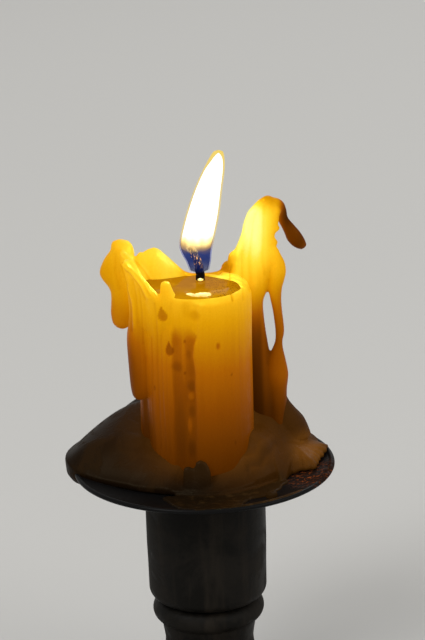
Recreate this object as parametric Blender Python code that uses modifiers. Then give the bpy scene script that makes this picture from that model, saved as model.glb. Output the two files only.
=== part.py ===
"""A lit household candle, melted down and guttered, welded by its own run-off into a small
metal candle holder.  Metres, +Z up.  The origin is the middle of the foot's flat underside, and
the run-off's open side faces -Y."""
import math

import bmesh
import bpy
from mathutils import Vector

MM = 0.001

# Driving dimensions, in millimetres.
CANDLE_RADIUS = 11.0
RIM_HEIGHT = 58.9        # top of the drip pan's rolled edge
POOL_HEIGHT = 101.0      # surface of the molten wax
PAN_RADIUS = 29.2
PAN_DEPTH = 2.8
PAN_SHEET = 0.8
PAN_BEAD_RADIUS = 0.55
CUP_RADIUS = 13.5
CUP_FOOT_HEIGHT = 27.0   # where the cup stands on the foot's knop
CUP_FLOOR = 5.0
SPIGOT_RADIUS = 4.0
SPIGOT_LENGTH = 7.0
KNOP_RADIUS = 12.6
NECK_RADIUS = 10.0
FOOT_RADIUS = 25.0
WICK_RADIUS = 1.0
POOL_DEPTH = 1.9
FIT_GAP = 0.3            # left between pieces that touch

WAX_VOXEL = 0.75
CANDLE_TRIANGLES = 4400
RUNOFF_TRIANGLES = 3400
TURNING_STEPS = 48

COLLAR_RADIUS = CANDLE_RADIUS + 2 * FIT_GAP + 0.7
PAN_HOLE_RADIUS = COLLAR_RADIUS + FIT_GAP
PAN_FLOOR = RIM_HEIGHT - PAN_DEPTH
CUP_SHOULDER = PAN_FLOOR - PAN_SHEET - FIT_GAP
BORE_RADIUS = CANDLE_RADIUS + FIT_GAP + 0.1
BORE_FLOOR = CUP_FOOT_HEIGHT + CUP_FLOOR
CANDLE_FOOT = BORE_FLOOR + FIT_GAP


# ---------------------------------------------------------------- scene and collections
for old in list(bpy.data.objects):
    bpy.data.objects.remove(old, do_unlink=True)


def new_collection(name):
    made = bpy.data.collections.new(name)
    bpy.context.scene.collection.children.link(made)
    return made


PARTS = new_collection("melted_candle")
CUTTERS = new_collection("cutters")


def material(name, colour, roughness, metallic=0.0):
    made = bpy.data.materials.new(name)
    made.use_nodes = True
    shader = made.node_tree.nodes["Principled BSDF"]
    shader.inputs["Base Color"].default_value = (*colour, 1.0)
    shader.inputs["Roughness"].default_value = roughness
    shader.inputs["Metallic"].default_value = metallic
    made.diffuse_color = (*colour, 1.0)
    return made


def new_part(name, mesh, finish=None):
    made = bpy.data.objects.new(name, mesh)
    if finish is None:
        CUTTERS.objects.link(made)
        made.hide_render = True
        made.display_type = "WIRE"
    else:
        PARTS.objects.link(made)
        made.data.materials.append(finish)
    return made


# ---------------------------------------------------------------- smooth paths and lofts
def through(stations, step):
    """Stations on a Catmull-Rom curve through the given ones, about step apart."""
    ends = [stations[0], *stations, stations[-1]]
    found = []
    for before, start, stop, after in zip(ends, ends[1:], ends[2:], ends[3:]):
        count = max(1, round(math.dist(start[:3], stop[:3]) / step))
        for i in range(count):
            t = i / count
            found.append(tuple(
                0.5 * (2 * b + (c - a) * t + (2 * a - 5 * b + 4 * c - d) * t * t
                       + (3 * b - a - 3 * c + d) * t ** 3)
                for a, b, c, d in zip(before, start, stop, after)))
    return [*found, stations[-1]]


def loft(rings, rounding, grow):
    """A closed skin over the rings, which shrink to round ends over the length rounding.  Both
    ends are moved out by grow."""
    middles = [sum(ring, Vector()) / len(ring) for ring in rings]
    for end, inside in ((0, 1), (-1, -2)):
        shift = (middles[end] - middles[inside]).normalized() * grow
        rings[end] = [p + shift for p in rings[end]]
        middles[end] = middles[end] + shift
    travelled = [0.0]
    for here, there in zip(middles, middles[1:]):
        travelled.append(travelled[-1] + (there - here).length)
    bm = bmesh.new()
    loops = []
    for ring, middle, gone in zip(rings, middles, travelled):
        near_end = min(gone, travelled[-1] - gone) / rounding
        size = math.sqrt(max(0.04, 1 - max(0.0, 1 - near_end) ** 2))
        loops.append([bm.verts.new((middle + (p - middle) * size) * MM) for p in ring])
    for low, high in zip(loops, loops[1:]):
        for i, vert in enumerate(low):
            after = (i + 1) % len(low)
            bm.faces.new((vert, low[after], high[after], high[i]))
    bm.faces.new(loops[0])
    bm.faces.new(loops[-1])
    bmesh.ops.recalc_face_normals(bm, faces=bm.faces)
    mesh = bpy.data.meshes.new("wax")
    bm.to_mesh(mesh)
    bm.free()
    return mesh


def turn(i, count):
    angle = 2 * math.pi * i / count
    return math.cos(angle), math.sin(angle)


# Every wax form below is given in millimetres from the middle of the molten pool's surface.
# grow makes the same form fatter, for a cutter that clears it.
def run(stations, grow=0.0, points=20):
    """Wax that ran down the candle: (height, bearing, half arc, radius, half thickness)."""
    rings = []
    for height, bearing, half_arc, radius, thick in through(stations, 1.2):
        ring = []
        for i in range(points):
            along, out = turn(i, points)
            wide = math.radians(half_arc) + grow / radius
            angle = math.radians(bearing) + wide * along
            reach = radius + (thick + grow) * math.copysign(abs(out) ** 0.7, out)
            ring.append(Vector((reach * math.cos(angle), reach * math.sin(angle),
                                POOL_HEIGHT + height)))
        rings.append(ring)
    return loft(rings, 1.3, grow)


def lump(stations, grow=0.0, points=16, rounding=1.1):
    """A standing or hanging lump: (x, y, height, half width, half depth)."""
    rings = []
    for x, y, height, wide, deep in through(stations, 0.9):
        ring = []
        for i in range(points):
            across, back = turn(i, points)
            ring.append(Vector((x + (wide + grow) * across, y + (deep + grow) * back,
                                POOL_HEIGHT + height)))
        rings.append(ring)
    return loft(rings, rounding, grow)


def wall(stations, grow=0.0, points=14):
    """A standing wall: (x, y, top, lean x, lean y, root, half thickness)."""
    path = through(stations, 1.0)
    rings = []
    for i, (x, y, top, lean_x, lean_y, root, thick) in enumerate(path):
        before, after = path[max(0, i - 1)], path[min(len(path) - 1, i + 1)]
        crown = Vector((x, y, top + grow))
        base = Vector((x - lean_x, y - lean_y, root - grow))
        upright = (crown - base) / 2
        ahead = Vector((after[0] - before[0], after[1] - before[1], 0))
        across = upright.cross(ahead).normalized() * (thick + grow)
        middle = (crown + base) / 2 + Vector((0, 0, POOL_HEIGHT))
        ring = []
        for k in range(points):
            up, out = turn(k, points)
            ring.append(middle + upright * math.copysign(abs(up) ** 0.8, up) + across * out)
        rings.append(ring)
    return loft(rings, 1.0, grow)


# ---------------------------------------------------------------- the wax of the candle
COLUMN_FOOT = CANDLE_FOOT - POOL_HEIGHT
# The shaft, burnt away at the back of its top.
SHAFT = [
    (0, 0, COLUMN_FOOT, 11.0, 11.0), (0, 0, -40, 11.0, 11.0), (0, 0, -12, 11.0, 11.0),
    (0, -0.9, -6, 10.9, 10.1), (0.1, -2.2, -2, 10.8, 8.8), (0.1, -2.8, 0.2, 10.7, 8.3),
]
# Coats and runs that cling to the shaft, from the right front round to the left and behind.
RUNS = [
    [(0.2, -50, 40, 10.4, 2.2), (-6, -49, 41, 10.4, 2.0), (-20, -48, 41, 10.3, 1.8),
     (-42, -48, 41, 10.3, 1.6)],
    [(0.2, -45, 49, 10.6, 0.9), (-8, -44, 51, 10.6, 1.0), (-16, -46, 49, 10.6, 1.0),
     (-42, -46, 49, 10.5, 0.9)],
    [(-5, -141, 15, 10.6, 0.9), (-10, -140, 18, 10.8, 1.1), (-24, -140, 19, 10.8, 1.1),
     (-42, -138, 18, 10.7, 1.0)],
    [(5, -164, 9, 15.0, 1.1), (2, -158, 14, 13.7, 1.4), (-2, -150, 21, 12.2, 1.6),
     (-8, -148, 23, 11.6, 1.5), (-16, -154, 20, 11.4, 1.3), (-28, -157, 18, 11.3, 1.2),
     (-42, -158, 17, 11.1, 1.1)],
    [(4, -170, 9, 15.2, 1.2), (-4, -166, 10, 14.2, 1.5), (-8, -165, 9, 14.3, 1.7),
     (-11.5, -165, 9, 14.5, 2.0), (-18, -165, 9, 14.4, 1.9), (-23, -165, 8, 14.2, 1.8),
     (-25.7, -165, 6, 14.1, 1.3)],
    [(-2, 182, 12, 12.2, 1.7), (-16, 178, 13, 12.0, 1.6), (-30, 177, 13, 12.1, 1.6),
     (-38, 177, 15, 12.1, 1.8)],
    [(-5, 158, 12, 11.6, 1.4), (-18, 154, 12, 11.4, 1.5), (-36, 152, 15, 11.6, 1.8)],
    [(-7, 128, 11, 10.9, 1.4), (-20, 126, 10, 11.2, 1.3), (-34, 127, 14, 11.5, 1.7)],
    [(-9, 98, 13, 10.6, 1.5), (-22, 100, 12, 11.2, 1.6), (-34, 99, 15, 11.5, 2.0)],
    [(-7, 66, 12, 10.6, 1.4), (-16, 68, 9, 11.2, 1.2), (-34, 67, 13, 11.4, 1.8)],
    [(-1, 36, 13, 10.8, 1.7), (-14, 34, 13, 12.0, 1.6), (-36, 35, 16, 12.2, 2.0)],
]
# Walls left standing round the pool.
WALLS = [
    # the front left spill lip, which climbs to the ear
    [(-6.0, -8.7, 0.2, 0.0, 0.0, -9, 0.9), (-7.8, -7.8, 0.4, 0.0, 0.0, -9, 1.0),
     (-9.9, -6.6, 1.5, -0.6, -0.4, -9, 1.2), (-11.6, -5.9, 4.0, -1.4, -0.4, -9, 1.3),
     (-13.2, -5.0, 6.4, -2.6, -0.6, -8, 1.4), (-15.2, -3.4, 7.6, -3.4, -0.4, -7, 1.5),
     (-16.4, -0.6, 8.0, -3.8, 0.0, -5, 1.5), (-16.0, 2.2, 8.2, -3.4, 0.2, -3, 1.6)],
    # the back left wall, its foot in the pool
    [(-13.6, 2.8, 5.6, -0.8, 0.9, -6, 1.3), (-12.2, 3.6, 6.4, -0.8, 1.6, -6, 1.6),
     (-10.2, 4.2, 7.1, -0.5, 2.2, -6, 1.8), (-8.9, 4.3, 6.8, -0.2, 2.4, -6, 1.8),
     (-6.9, 4.4, 5.1, 0.0, 2.0, -6, 1.8), (-4.6, 4.3, 2.8, 0.0, 1.2, -6, 1.6),
     (-2.9, 4.2, 1.1, 0.0, 0.4, -6, 1.4), (-0.5, 4.0, 0.5, 0.0, 0.0, -6, 1.2),
     (3.4, 4.2, 0.6, 0.0, 0.0, -6, 1.2), (6.2, 5.2, 1.2, 0.0, 0.2, -6, 1.4)],
    # the slumped ridge on the right of the pool
    [(7.4, 2.2, 1.6, 0.0, 0.0, -9, 1.4), (8.4, -1.4, 1.2, 0.0, 0.0, -9, 1.5),
     (9.2, -4.4, 0.9, 0.0, 0.0, -9, 1.3), (9.4, -6.8, 0.5, 0.0, 0.0, -9, 1.1),
     (8.6, -8.6, 0.2, 0.0, 0.0, -9, 0.9)],
]
# Ear, post, horn, hanging drip, bent tip and knob.
LUMPS = [
    [(-16.4, 2.6, 9.3, 1.4, 1.4), (-16.3, 2.6, 8.2, 2.3, 2.2), (-16.5, 2.6, 7.0, 2.6, 2.4),
     (-17.2, 2.6, 5.1, 3.3, 2.6), (-17.9, 2.6, 2.5, 3.7, 2.7), (-17.7, 2.4, 0.9, 3.6, 2.6),
     (-17.0, 2.2, -1.4, 2.7, 2.3), (-17.0, 2.0, -3.4, 2.3, 2.1), (-17.2, 1.8, -7.2, 2.3, 2.0),
     (-17.1, 1.8, -9.6, 2.0, 1.8), (-17.0, 1.8, -10.9, 1.2, 1.2)],
    [(-6.6, -8.6, -8.0, 1.4, 1.0), (-6.5, -8.9, -0.5, 1.4, 1.2), (-6.5, -8.9, 1.0, 1.2, 1.1),
     (-6.6, -8.8, 2.4, 1.05, 1.0), (-6.7, -8.8, 3.5, 0.8, 0.8)],
    [(15.8, 6.4, 17.4, 1.0, 0.9), (15.6, 6.3, 16.4, 1.9, 1.2), (14.8, 6.0, 14.1, 3.4, 1.5),
     (14.2, 5.6, 11.6, 4.0, 1.6), (13.5, 5.3, 8.8, 4.0, 1.7), (12.6, 5.0, 5.7, 4.5, 1.9),
     (12.1, 4.7, 3.0, 5.2, 2.1), (11.4, 4.5, 0.0, 5.0, 2.3), (11.2, 4.4, -3.5, 4.1, 2.3),
     (11.6, 4.4, -6.5, 2.6, 2.1), (12.0, 4.4, -12, 2.5, 1.8), (12.5, 4.6, -18, 2.8, 1.9),
     (13.2, 4.8, -26, 3.0, 2.2), (13.4, 5.0, -36, 3.6, 2.8)],
    [(16.6, 4.6, 6.5, 0.9, 0.9), (16.9, 4.4, 4.4, 1.4, 1.3), (17.5, 4.2, 2.8, 1.6, 1.5),
     (17.6, 4.0, 0.7, 1.8, 1.6), (17.3, 3.9, -1.2, 1.7, 1.5), (16.9, 3.8, -3.4, 1.5, 1.3),
     (17.0, 3.8, -6.0, 1.2, 1.2), (17.3, 3.8, -8.5, 1.05, 1.1), (17.7, 3.8, -13, 1.0, 1.0),
     (17.4, 3.8, -15.6, 0.85, 0.85), (17.1, 3.9, -17.5, 1.3, 1.2), (16.9, 4.1, -20, 2.0, 1.7),
     (16.9, 4.3, -23, 2.5, 2.1), (16.9, 4.5, -25, 2.4, 2.1), (16.8, 4.9, -28, 2.2, 2.1),
     (16.4, 5.2, -36, 2.6, 2.6)],
    [(16.4, 6.4, 16.6, 1.1, 1.0), (18.2, 6.9, 15.2, 1.1, 1.0), (18.9, 7.3, 13.2, 1.0, 0.9),
     (19.2, 7.9, 11.6, 0.85, 0.8), (19.9, 8.6, 9.6, 0.8, 0.75), (21.1, 8.9, 7.7, 1.15, 1.1),
     (22.3, 9.2, 5.9, 1.4, 1.3), (23.3, 9.4, 4.3, 1.2, 1.1), (23.8, 9.5, 3.3, 0.9, 0.8)],
    [(6.4, 5.4, -2.0, 1.5, 1.4), (6.2, 5.4, 0.6, 1.2, 1.1), (6.2, 5.4, 2.0, 0.95, 0.9),
     (6.5, 5.4, 3.1, 0.7, 0.7)],
]
# The wick stands straight in the candle and curls over in the flame.
WICK = [
    (0, 0, COLUMN_FOOT + 0.5), (0, 0, -50), (0, 0, -30), (0, 0, -12), (0.2, -0.1, -5),
    (0.4, -0.1, 0), (0.5, -0.1, 2.7), (0.4, 0, 4.0), (0.0, 0, 5.8), (-0.7, 0, 7.3),
    (-1.3, 0, 8.4),
]
# The shore of the molten pool, (x, y) going clockwise from the back left.
SHORE = [
    (-10.0, 1.0), (-7.8, 1.2), (-5.4, 0.4), (-3.0, 1.4), (0.0, 2.2), (3.2, 2.4), (5.8, 2.6),
    (6.8, 0.2), (7.0, -2.6), (7.8, -5.4), (8.2, -8.0), (7.0, -9.6), (4.4, -10.2),
    (0.6, -10.4), (-2.4, -10.1), (-4.6, -8.9), (-6.4, -7.4), (-8.4, -6.4), (-9.5, -3.4),
]


def wax_forms(grow=0.0):
    forms = [lump(SHAFT, grow, points=48, rounding=0.5)]
    forms += [run(stations, grow) for stations in RUNS]
    forms += [wall(stations, grow) for stations in WALLS]
    forms += [lump(stations, grow) for stations in LUMPS]
    return forms


def joined(meshes, name):
    bm = bmesh.new()
    for mesh in meshes:
        bm.from_mesh(mesh)
        bpy.data.meshes.remove(mesh)
    made = bpy.data.meshes.new(name)
    bm.to_mesh(made)
    bm.free()
    return made


def fuse(part, voxel):
    """Melts the overlapping forms of a part into one skin."""
    remesh = part.modifiers.new("melt together", "REMESH")
    remesh.mode = "VOXEL"
    remesh.voxel_size = voxel * MM
    remesh.use_smooth_shade = True
    return remesh


def thin_out(part, triangles):
    """Collapses a fused skin to about the number of triangles given."""
    skin = part.evaluated_get(bpy.context.evaluated_depsgraph_get()).data
    skin.calc_loop_triangles()
    decimate = part.modifiers.new("fewer faces", "DECIMATE")
    decimate.ratio = min(1.0, triangles / len(skin.loop_triangles))


def cut_away(part, cutter):
    cut = part.modifiers.new(cutter.name, "BOOLEAN")
    cut.operation = "DIFFERENCE"
    cut.solver = "EXACT"
    cut.object = cutter


def tube(name, path, radius, finish=None, overshoot=0.0):
    """A round tube along a smooth path, welded shut; overshoot lengthens both ends."""
    points = [Vector(p) for p in through(path, 1.6)]
    points[0] += (points[0] - points[1]).normalized() * overshoot
    points[-1] += (points[-1] - points[-2]).normalized() * overshoot
    curve = bpy.data.curves.new(name, "CURVE")
    curve.dimensions = "3D"
    curve.bevel_depth = radius * MM
    curve.bevel_resolution = 3
    curve.use_fill_caps = True
    spline = curve.splines.new("POLY")
    spline.points.add(len(points) - 1)
    for point, place in zip(spline.points, points):
        point.co = (*((place + Vector((0, 0, POOL_HEIGHT))) * MM), 1.0)
    guide = bpy.data.objects.new(name + "_guide", curve)
    CUTTERS.objects.link(guide)
    skin = guide.evaluated_get(bpy.context.evaluated_depsgraph_get())
    mesh = bpy.data.meshes.new_from_object(skin)
    mesh.name = name
    bpy.data.objects.remove(guide, do_unlink=True)
    bm = bmesh.new()
    bm.from_mesh(mesh)
    bmesh.ops.remove_doubles(bm, verts=bm.verts, dist=0.00001)
    bmesh.ops.recalc_face_normals(bm, faces=bm.faces)
    bm.to_mesh(mesh)
    bm.free()
    mesh.materials.clear()
    return new_part(name, mesh, finish)


def pool_block(name, grow, low, high, finish=None):
    """The pool's outline, grown by a margin, as a block from low to high."""
    shore = [Vector((x, y)) for x, y in through_loop(SHORE, 1.3)]
    edge = []
    for i, place in enumerate(shore):
        along = shore[(i + 1) % len(shore)] - shore[i - 1]
        edge.append(place + Vector((-along.y, along.x)).normalized() * grow)
    bm = bmesh.new()
    rings = []
    for height in (low, high):
        rings.append([bm.verts.new((x * MM, y * MM, (POOL_HEIGHT + height) * MM))
                      for x, y in edge])
    bottom, top = rings
    for i, vert in enumerate(bottom):
        after = (i + 1) % len(bottom)
        bm.faces.new((vert, bottom[after], top[after], top[i]))
    bm.faces.new(bottom)
    bm.faces.new(top)
    bmesh.ops.recalc_face_normals(bm, faces=bm.faces)
    mesh = bpy.data.meshes.new(name)
    bm.to_mesh(mesh)
    bm.free()
    return new_part(name, mesh, finish)


def through_loop(points, step):
    """A smooth closed outline through the points."""
    padded = [(x, y, 0.0) for x, y in [*points[-2:], *points, *points[:2]]]
    path = through(padded, step)
    start = min(range(len(path)), key=lambda i: math.dist(path[i], padded[2]))
    stop = max(range(len(path)), key=lambda i: -math.dist(path[i], padded[-2]) + i * 1e-9)
    return [(x, y) for x, y, _ in path[start:stop]]


WAX = material("candle wax", (0.80, 0.48, 0.08), 0.35)
LIQUID = material("molten wax", (0.70, 0.36, 0.03), 0.08)
CHAR = material("charred cotton", (0.02, 0.018, 0.016), 0.9)
FLAME = material("burning gas", (1.0, 0.86, 0.45), 0.6)
OLD_WAX = material("set run-off wax", (0.42, 0.27, 0.10), 0.5)
ENAMEL = material("chipped dark enamel", (0.03, 0.03, 0.04), 0.3)
STEM_METAL = material("tarnished dark metal", (0.10, 0.09, 0.08), 0.5, 0.6)

candle = new_part("candle", joined(wax_forms(), "candle"), WAX)
fuse(candle, WAX_VOXEL)
thin_out(candle, CANDLE_TRIANGLES)
pool_recess = pool_block("pool_recess", FIT_GAP, -POOL_DEPTH - FIT_GAP, 0.4)
wick_bore = tube("wick_bore", WICK, WICK_RADIUS + FIT_GAP, overshoot=4.0)
cut_away(candle, pool_recess)
cut_away(candle, wick_bore)

wick = tube("wick", WICK, WICK_RADIUS, CHAR)
melt_pool = pool_block("melt_pool", 0.0, -POOL_DEPTH, 0.0, LIQUID)
cut_away(melt_pool, wick_bore)

# ---------------------------------------------------------------- the flame on the wick
# (x, y, height, half width, half depth) of the burning gas, tip first.
FLAME_FORM = [
    (5.3, 0.2, 29.6, 0.7, 0.6), (5.0, 0.2, 28.0, 1.3, 1.2), (4.1, 0.2, 25.0, 2.2, 2.0),
    (2.6, 0.1, 20.6, 3.0, 2.7), (1.3, 0.1, 15.4, 3.55, 3.2), (0.2, 0.0, 10.8, 3.75, 3.4),
    (-0.2, 0.0, 8.6, 3.7, 3.4), (-0.2, 0.0, 6.8, 3.3, 3.1), (0.2, 0.0, 4.8, 2.6, 2.5),
    (0.5, -0.1, 2.6, 2.0, 1.9),
]
flame = new_part("flame", lump(FLAME_FORM, points=24, rounding=0.9), FLAME)
flame_bore = tube("flame_bore", WICK[4:], WICK_RADIUS + FIT_GAP + 0.05, overshoot=FIT_GAP)
cut_away(flame, flame_bore)


# ---------------------------------------------------------------- turned and spun metal
def turned(name, profile, finish=None, closed=False):
    """A profile of (radius, height) turned about the axis; it runs down its outer side."""
    mesh = bpy.data.meshes.new(name)
    edges = [(i, i + 1) for i in range(len(profile) - 1)]
    if closed:
        edges.append((len(profile) - 1, 0))
    mesh.from_pydata([(r * MM, 0, z * MM) for r, z in profile], edges, [])
    made = new_part(name, mesh, finish)
    screw = made.modifiers.new("turning", "SCREW")
    screw.steps = screw.render_steps = TURNING_STEPS
    screw.use_merge_vertices = True
    screw.merge_threshold = 0.00001
    screw.use_smooth_shade = True
    return made


def arc(middle, radius, start, stop, count):
    """Points on an arc in the profile's plane; angles in degrees, 0 outwards, 90 up."""
    found = []
    for i in range(count + 1):
        angle = math.radians(start + (stop - start) * i / count)
        found.append((middle[0] + radius * math.cos(angle),
                      middle[1] + radius * math.sin(angle)))
    return found


def pan_surface(radius):
    """Height of the dished pan's upper face at a radius."""
    share = (radius - PAN_HOLE_RADIUS) / (PAN_RADIUS - PAN_HOLE_RADIUS)
    return PAN_FLOOR + 0.93 * PAN_DEPTH * max(0.0, share) ** 1.7


PAN_BEAD_MIDDLE = (PAN_RADIUS - PAN_BEAD_RADIUS, RIM_HEIGHT - PAN_BEAD_RADIUS)
LIP_RADIUS = PAN_RADIUS - 2.2 * PAN_BEAD_RADIUS
DISH_RADII = [PAN_HOLE_RADIUS + (LIP_RADIUS - PAN_HOLE_RADIUS) * i / 6 for i in range(7)]
drip_pan = turned("drip_pan", [
    *[(r, pan_surface(r)) for r in DISH_RADII],
    *arc(PAN_BEAD_MIDDLE, PAN_BEAD_RADIUS, 130, -110, 8),
    *[(r, pan_surface(r) - PAN_SHEET) for r in reversed(DISH_RADII)],
], ENAMEL, closed=True)

COLLAR_TOP = PAN_FLOOR + 0.6
candle_cup = turned("candle_cup", [
    (0, BORE_FLOOR), (BORE_RADIUS, BORE_FLOOR), (BORE_RADIUS, COLLAR_TOP),
    (COLLAR_RADIUS, COLLAR_TOP), (COLLAR_RADIUS, CUP_SHOULDER), (CUP_RADIUS, CUP_SHOULDER),
    *arc((CUP_RADIUS - 2.6, CUP_FOOT_HEIGHT + 2.6), 2.6, 0, -80, 5),
    (SPIGOT_RADIUS, CUP_FOOT_HEIGHT), (SPIGOT_RADIUS, CUP_FOOT_HEIGHT - SPIGOT_LENGTH),
    (0, CUP_FOOT_HEIGHT - SPIGOT_LENGTH)], STEM_METAL)

KNOP_TOP = CUP_FOOT_HEIGHT - FIT_GAP
KNOP_ROUND = 2.6
NECK_HEIGHT = 17.0
SOCKET_FLOOR = CUP_FOOT_HEIGHT - SPIGOT_LENGTH - FIT_GAP
FLARE_FOOT = 3.0


def flare(count):
    """The hollow curve from the neck out to the foot's edge."""
    found = []
    for i in range(count + 1):
        angle = math.pi / 2 * i / count
        found.append((NECK_RADIUS + (FOOT_RADIUS - 1 - NECK_RADIUS) * (1 - math.cos(angle)),
                      NECK_HEIGHT - (NECK_HEIGHT - FLARE_FOOT) * math.sin(angle)))
    return found


foot = turned("foot", [
    (0, SOCKET_FLOOR), (SPIGOT_RADIUS + FIT_GAP, SOCKET_FLOOR),
    (SPIGOT_RADIUS + FIT_GAP, KNOP_TOP),
    *arc((KNOP_RADIUS - KNOP_ROUND, KNOP_TOP - KNOP_ROUND), KNOP_ROUND, 90, -60, 7),
    *flare(7), *arc((FOOT_RADIUS - 1, FLARE_FOOT - 1), 1.0, 70, 0, 3),
    (FOOT_RADIUS, 0.5), (FOOT_RADIUS - 0.5, 0), (0, 0)], STEM_METAL)

# ---------------------------------------------------------------- set wax in the drip pan
# Its shape by bearing: (bearing, outer radius, height over the pan's rim at that edge, and the
# heights at the MOUND_RADII inside it).
MOUND_RADII = (11, 15, 19, 23, 27)
MOUND = [
    (0, 18.6, -1.0, 8.8, 8.0, -1.5, -2.0, -2.0), (12, 23.4, 0.2, 10.2, 10.6, 8.8, 2.4, -1.0),
    (26, 29.6, -0.3, 13.6, 13.6, 12.7, 9.0, 3.0), (45, 29.2, 0.5, 14.0, 13.6, 12.4, 9.4, 4.2),
    (90, 28.8, 0.6, 14.4, 14.0, 12.6, 9.8, 5.0), (130, 29.8, 0.6, 13.6, 13.2, 11.8, 9.2, 5.2),
    (152, 31.2, 0.2, 12.2, 12.0, 10.6, 8.2, 5.0), (168, 31.4, 0.8, 10.0, 10.0, 9.0, 7.2, 4.8),
    (182, 31.0, 1.5, 7.5, 8.0, 7.4, 6.3, 4.6), (190, 29.6, 0.6, 7.0, 7.2, 6.0, 4.2, 2.2),
    (196, 25.4, -0.6, 6.5, 6.2, 4.4, 1.6, -0.8), (203, 22.4, -1.0, 5.8, 5.1, 2.6, -1.4, -1.6),
    (213, 19.8, -1.3, 5.0, 3.6, 0.0, -1.6, -1.8), (228, 17.0, -1.6, 4.2, 1.4, -1.6, -1.8, -1.8),
    (240, 15.8, -1.7, 2.9, 0.0, -1.8, -1.8, -1.8), (249, 15.3, -1.7, 0.9, -1.3, -1.8, -1.8, -1.8),
    (276, 15.2, -1.7, 0.4, -1.4, -1.8, -1.8, -1.8), (292, 15.3, -1.7, 1.6, -1.0, -1.8, -1.8, -1.8),
    (305, 15.4, -1.6, 3.0, -0.4, -1.8, -1.8, -1.8), (318, 15.6, -1.5, 5.2, 1.2, -1.6, -1.8, -1.8),
    (327, 16.0, -1.4, 8.2, 4.0, -1.6, -1.8, -1.8), (338, 16.8, -1.3, 8.8, 6.8, -1.6, -1.8, -1.8),
    (349, 17.6, -1.1, 8.8, 7.8, -1.4, -1.8, -1.8),
]
MOUND_STEPS = 90
MOUND_SHARES = (0.0, 0.12, 0.26, 0.42, 0.58, 0.74, 0.88, 0.97)
MOUND_INNER = CANDLE_RADIUS - 0.6
LEAVES = [
    [(-1.2, -13.6, -44.6, 3.0, 1.5), (-0.9, -13.5, -42.6, 2.2, 1.1),
     (-0.3, -13.3, -41.0, 1.9, 0.8), (-0.4, -13.0, -39.4, 1.4, 0.7),
     (-0.7, -12.7, -37.6, 0.8, 0.6)],
    [(-3.4, -13.4, -44.6, 1.8, 1.4), (-3.7, -13.2, -42.0, 1.2, 0.9),
     (-3.8, -13.0, -39.4, 0.9, 0.7)],
]
# The cone of wax under the hanging drip.
CONE = [
    (16.6, 5.4, -27.4, 1.9, 1.9), (16.8, 5.8, -30.0, 2.5, 2.5), (17.2, 6.6, -32.4, 3.6, 3.4),
    (17.8, 7.4, -35.4, 5.2, 4.4), (18.2, 8.0, -40.0, 6.4, 5.2),
]
# The thick slab that broke off at the right: its outline and the height of its top at each
# point.
CHIP = [
    (18.4, -0.4, -38.4), (19.6, -1.9, -39.6), (21.2, -1.5, -39.2), (22.6, -2.3, -39.6),
    (23.8, -1.9, -39.6), (25.0, -2.6, -40.2), (25.6, -1.0, -40.0), (26.4, -0.3, -40.4),
    (26.2, 1.6, -40.0), (27.3, 2.6, -40.4), (26.9, 4.6, -40.2), (28.0, 5.8, -40.8),
    (28.4, 8.2, -41.0), (25.0, 10.4, -38.0), (18.6, 8.4, -34.0), (16.6, 3.0, -35.0),
]


def mound_at(bearing):
    """The mound's outer radius, edge height and inner heights at a bearing."""
    for before, after in zip(MOUND, [*MOUND[1:], (360, *MOUND[0][1:])]):
        if before[0] <= bearing <= after[0]:
            share = (bearing - before[0]) / (after[0] - before[0])
            share = share * share * (3 - 2 * share)
            return [a + (b - a) * share for a, b in zip(before[1:], after[1:])]
    return MOUND[0][1:]


def mound_height(radius, reach, edge, heights):
    """Height over the rim at a radius, straight between the known ones."""
    known = [(r, h) for r, h in zip(MOUND_RADII, heights) if r < reach - 0.8] + [(reach, edge)]
    if radius <= known[0][0]:
        return known[0][1]
    for (r, h), (r_next, h_next) in zip(known, known[1:]):
        if radius <= r_next:
            return h + (h_next - h) * (radius - r) / (r_next - r)
    return edge


def mound_loop(bearing):
    """The run-off's outline at a bearing as (radius, height), the top first."""
    reach, edge, *heights = mound_at(bearing)
    loop = []
    for share in MOUND_SHARES:
        radius = MOUND_INNER + (reach - MOUND_INNER) * share
        loop.append((radius, RIM_HEIGHT + mound_height(radius, reach, edge, heights)))
    under = min(edge - 0.7, -1.6)
    loop += [(reach, RIM_HEIGHT + edge - 0.7), (reach - 0.2, RIM_HEIGHT + under)]
    loop += [(reach - 1.2, PAN_FLOOR - 0.5), (MOUND_INNER, PAN_FLOOR - 0.5)]
    return loop


def chip_mesh():
    """The broken slab as a closed block."""
    bm = bmesh.new()
    top = [bm.verts.new((x * MM, y * MM, (POOL_HEIGHT + h) * MM)) for x, y, h in CHIP]
    low = [bm.verts.new((x * MM, y * MM, (RIM_HEIGHT - 2.2) * MM)) for x, y, h in CHIP]
    for i, vert in enumerate(low):
        after = (i + 1) % len(low)
        bm.faces.new((vert, low[after], top[after], top[i]))
    bmesh.ops.triangulate(bm, faces=[bm.faces.new(top), bm.faces.new(low)])
    bmesh.ops.recalc_face_normals(bm, faces=bm.faces)
    mesh = bpy.data.meshes.new("wax_runoff")
    bm.to_mesh(mesh)
    bm.free()
    return mesh


def mound_mesh():
    bm = bmesh.new()
    loops = []
    for step in range(MOUND_STEPS):
        bearing = 360 * step / MOUND_STEPS
        across, back = turn(step, MOUND_STEPS)
        loops.append([bm.verts.new((r * across * MM, r * back * MM, z * MM))
                      for r, z in mound_loop(bearing)])
    for here, there in zip(loops, [*loops[1:], loops[0]]):
        for i, vert in enumerate(here):
            after = (i + 1) % len(here)
            bm.faces.new((vert, here[after], there[after], there[i]))
    bmesh.ops.recalc_face_normals(bm, faces=bm.faces)
    mesh = bpy.data.meshes.new("wax_runoff")
    bm.to_mesh(mesh)
    bm.free()
    return mesh


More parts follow.
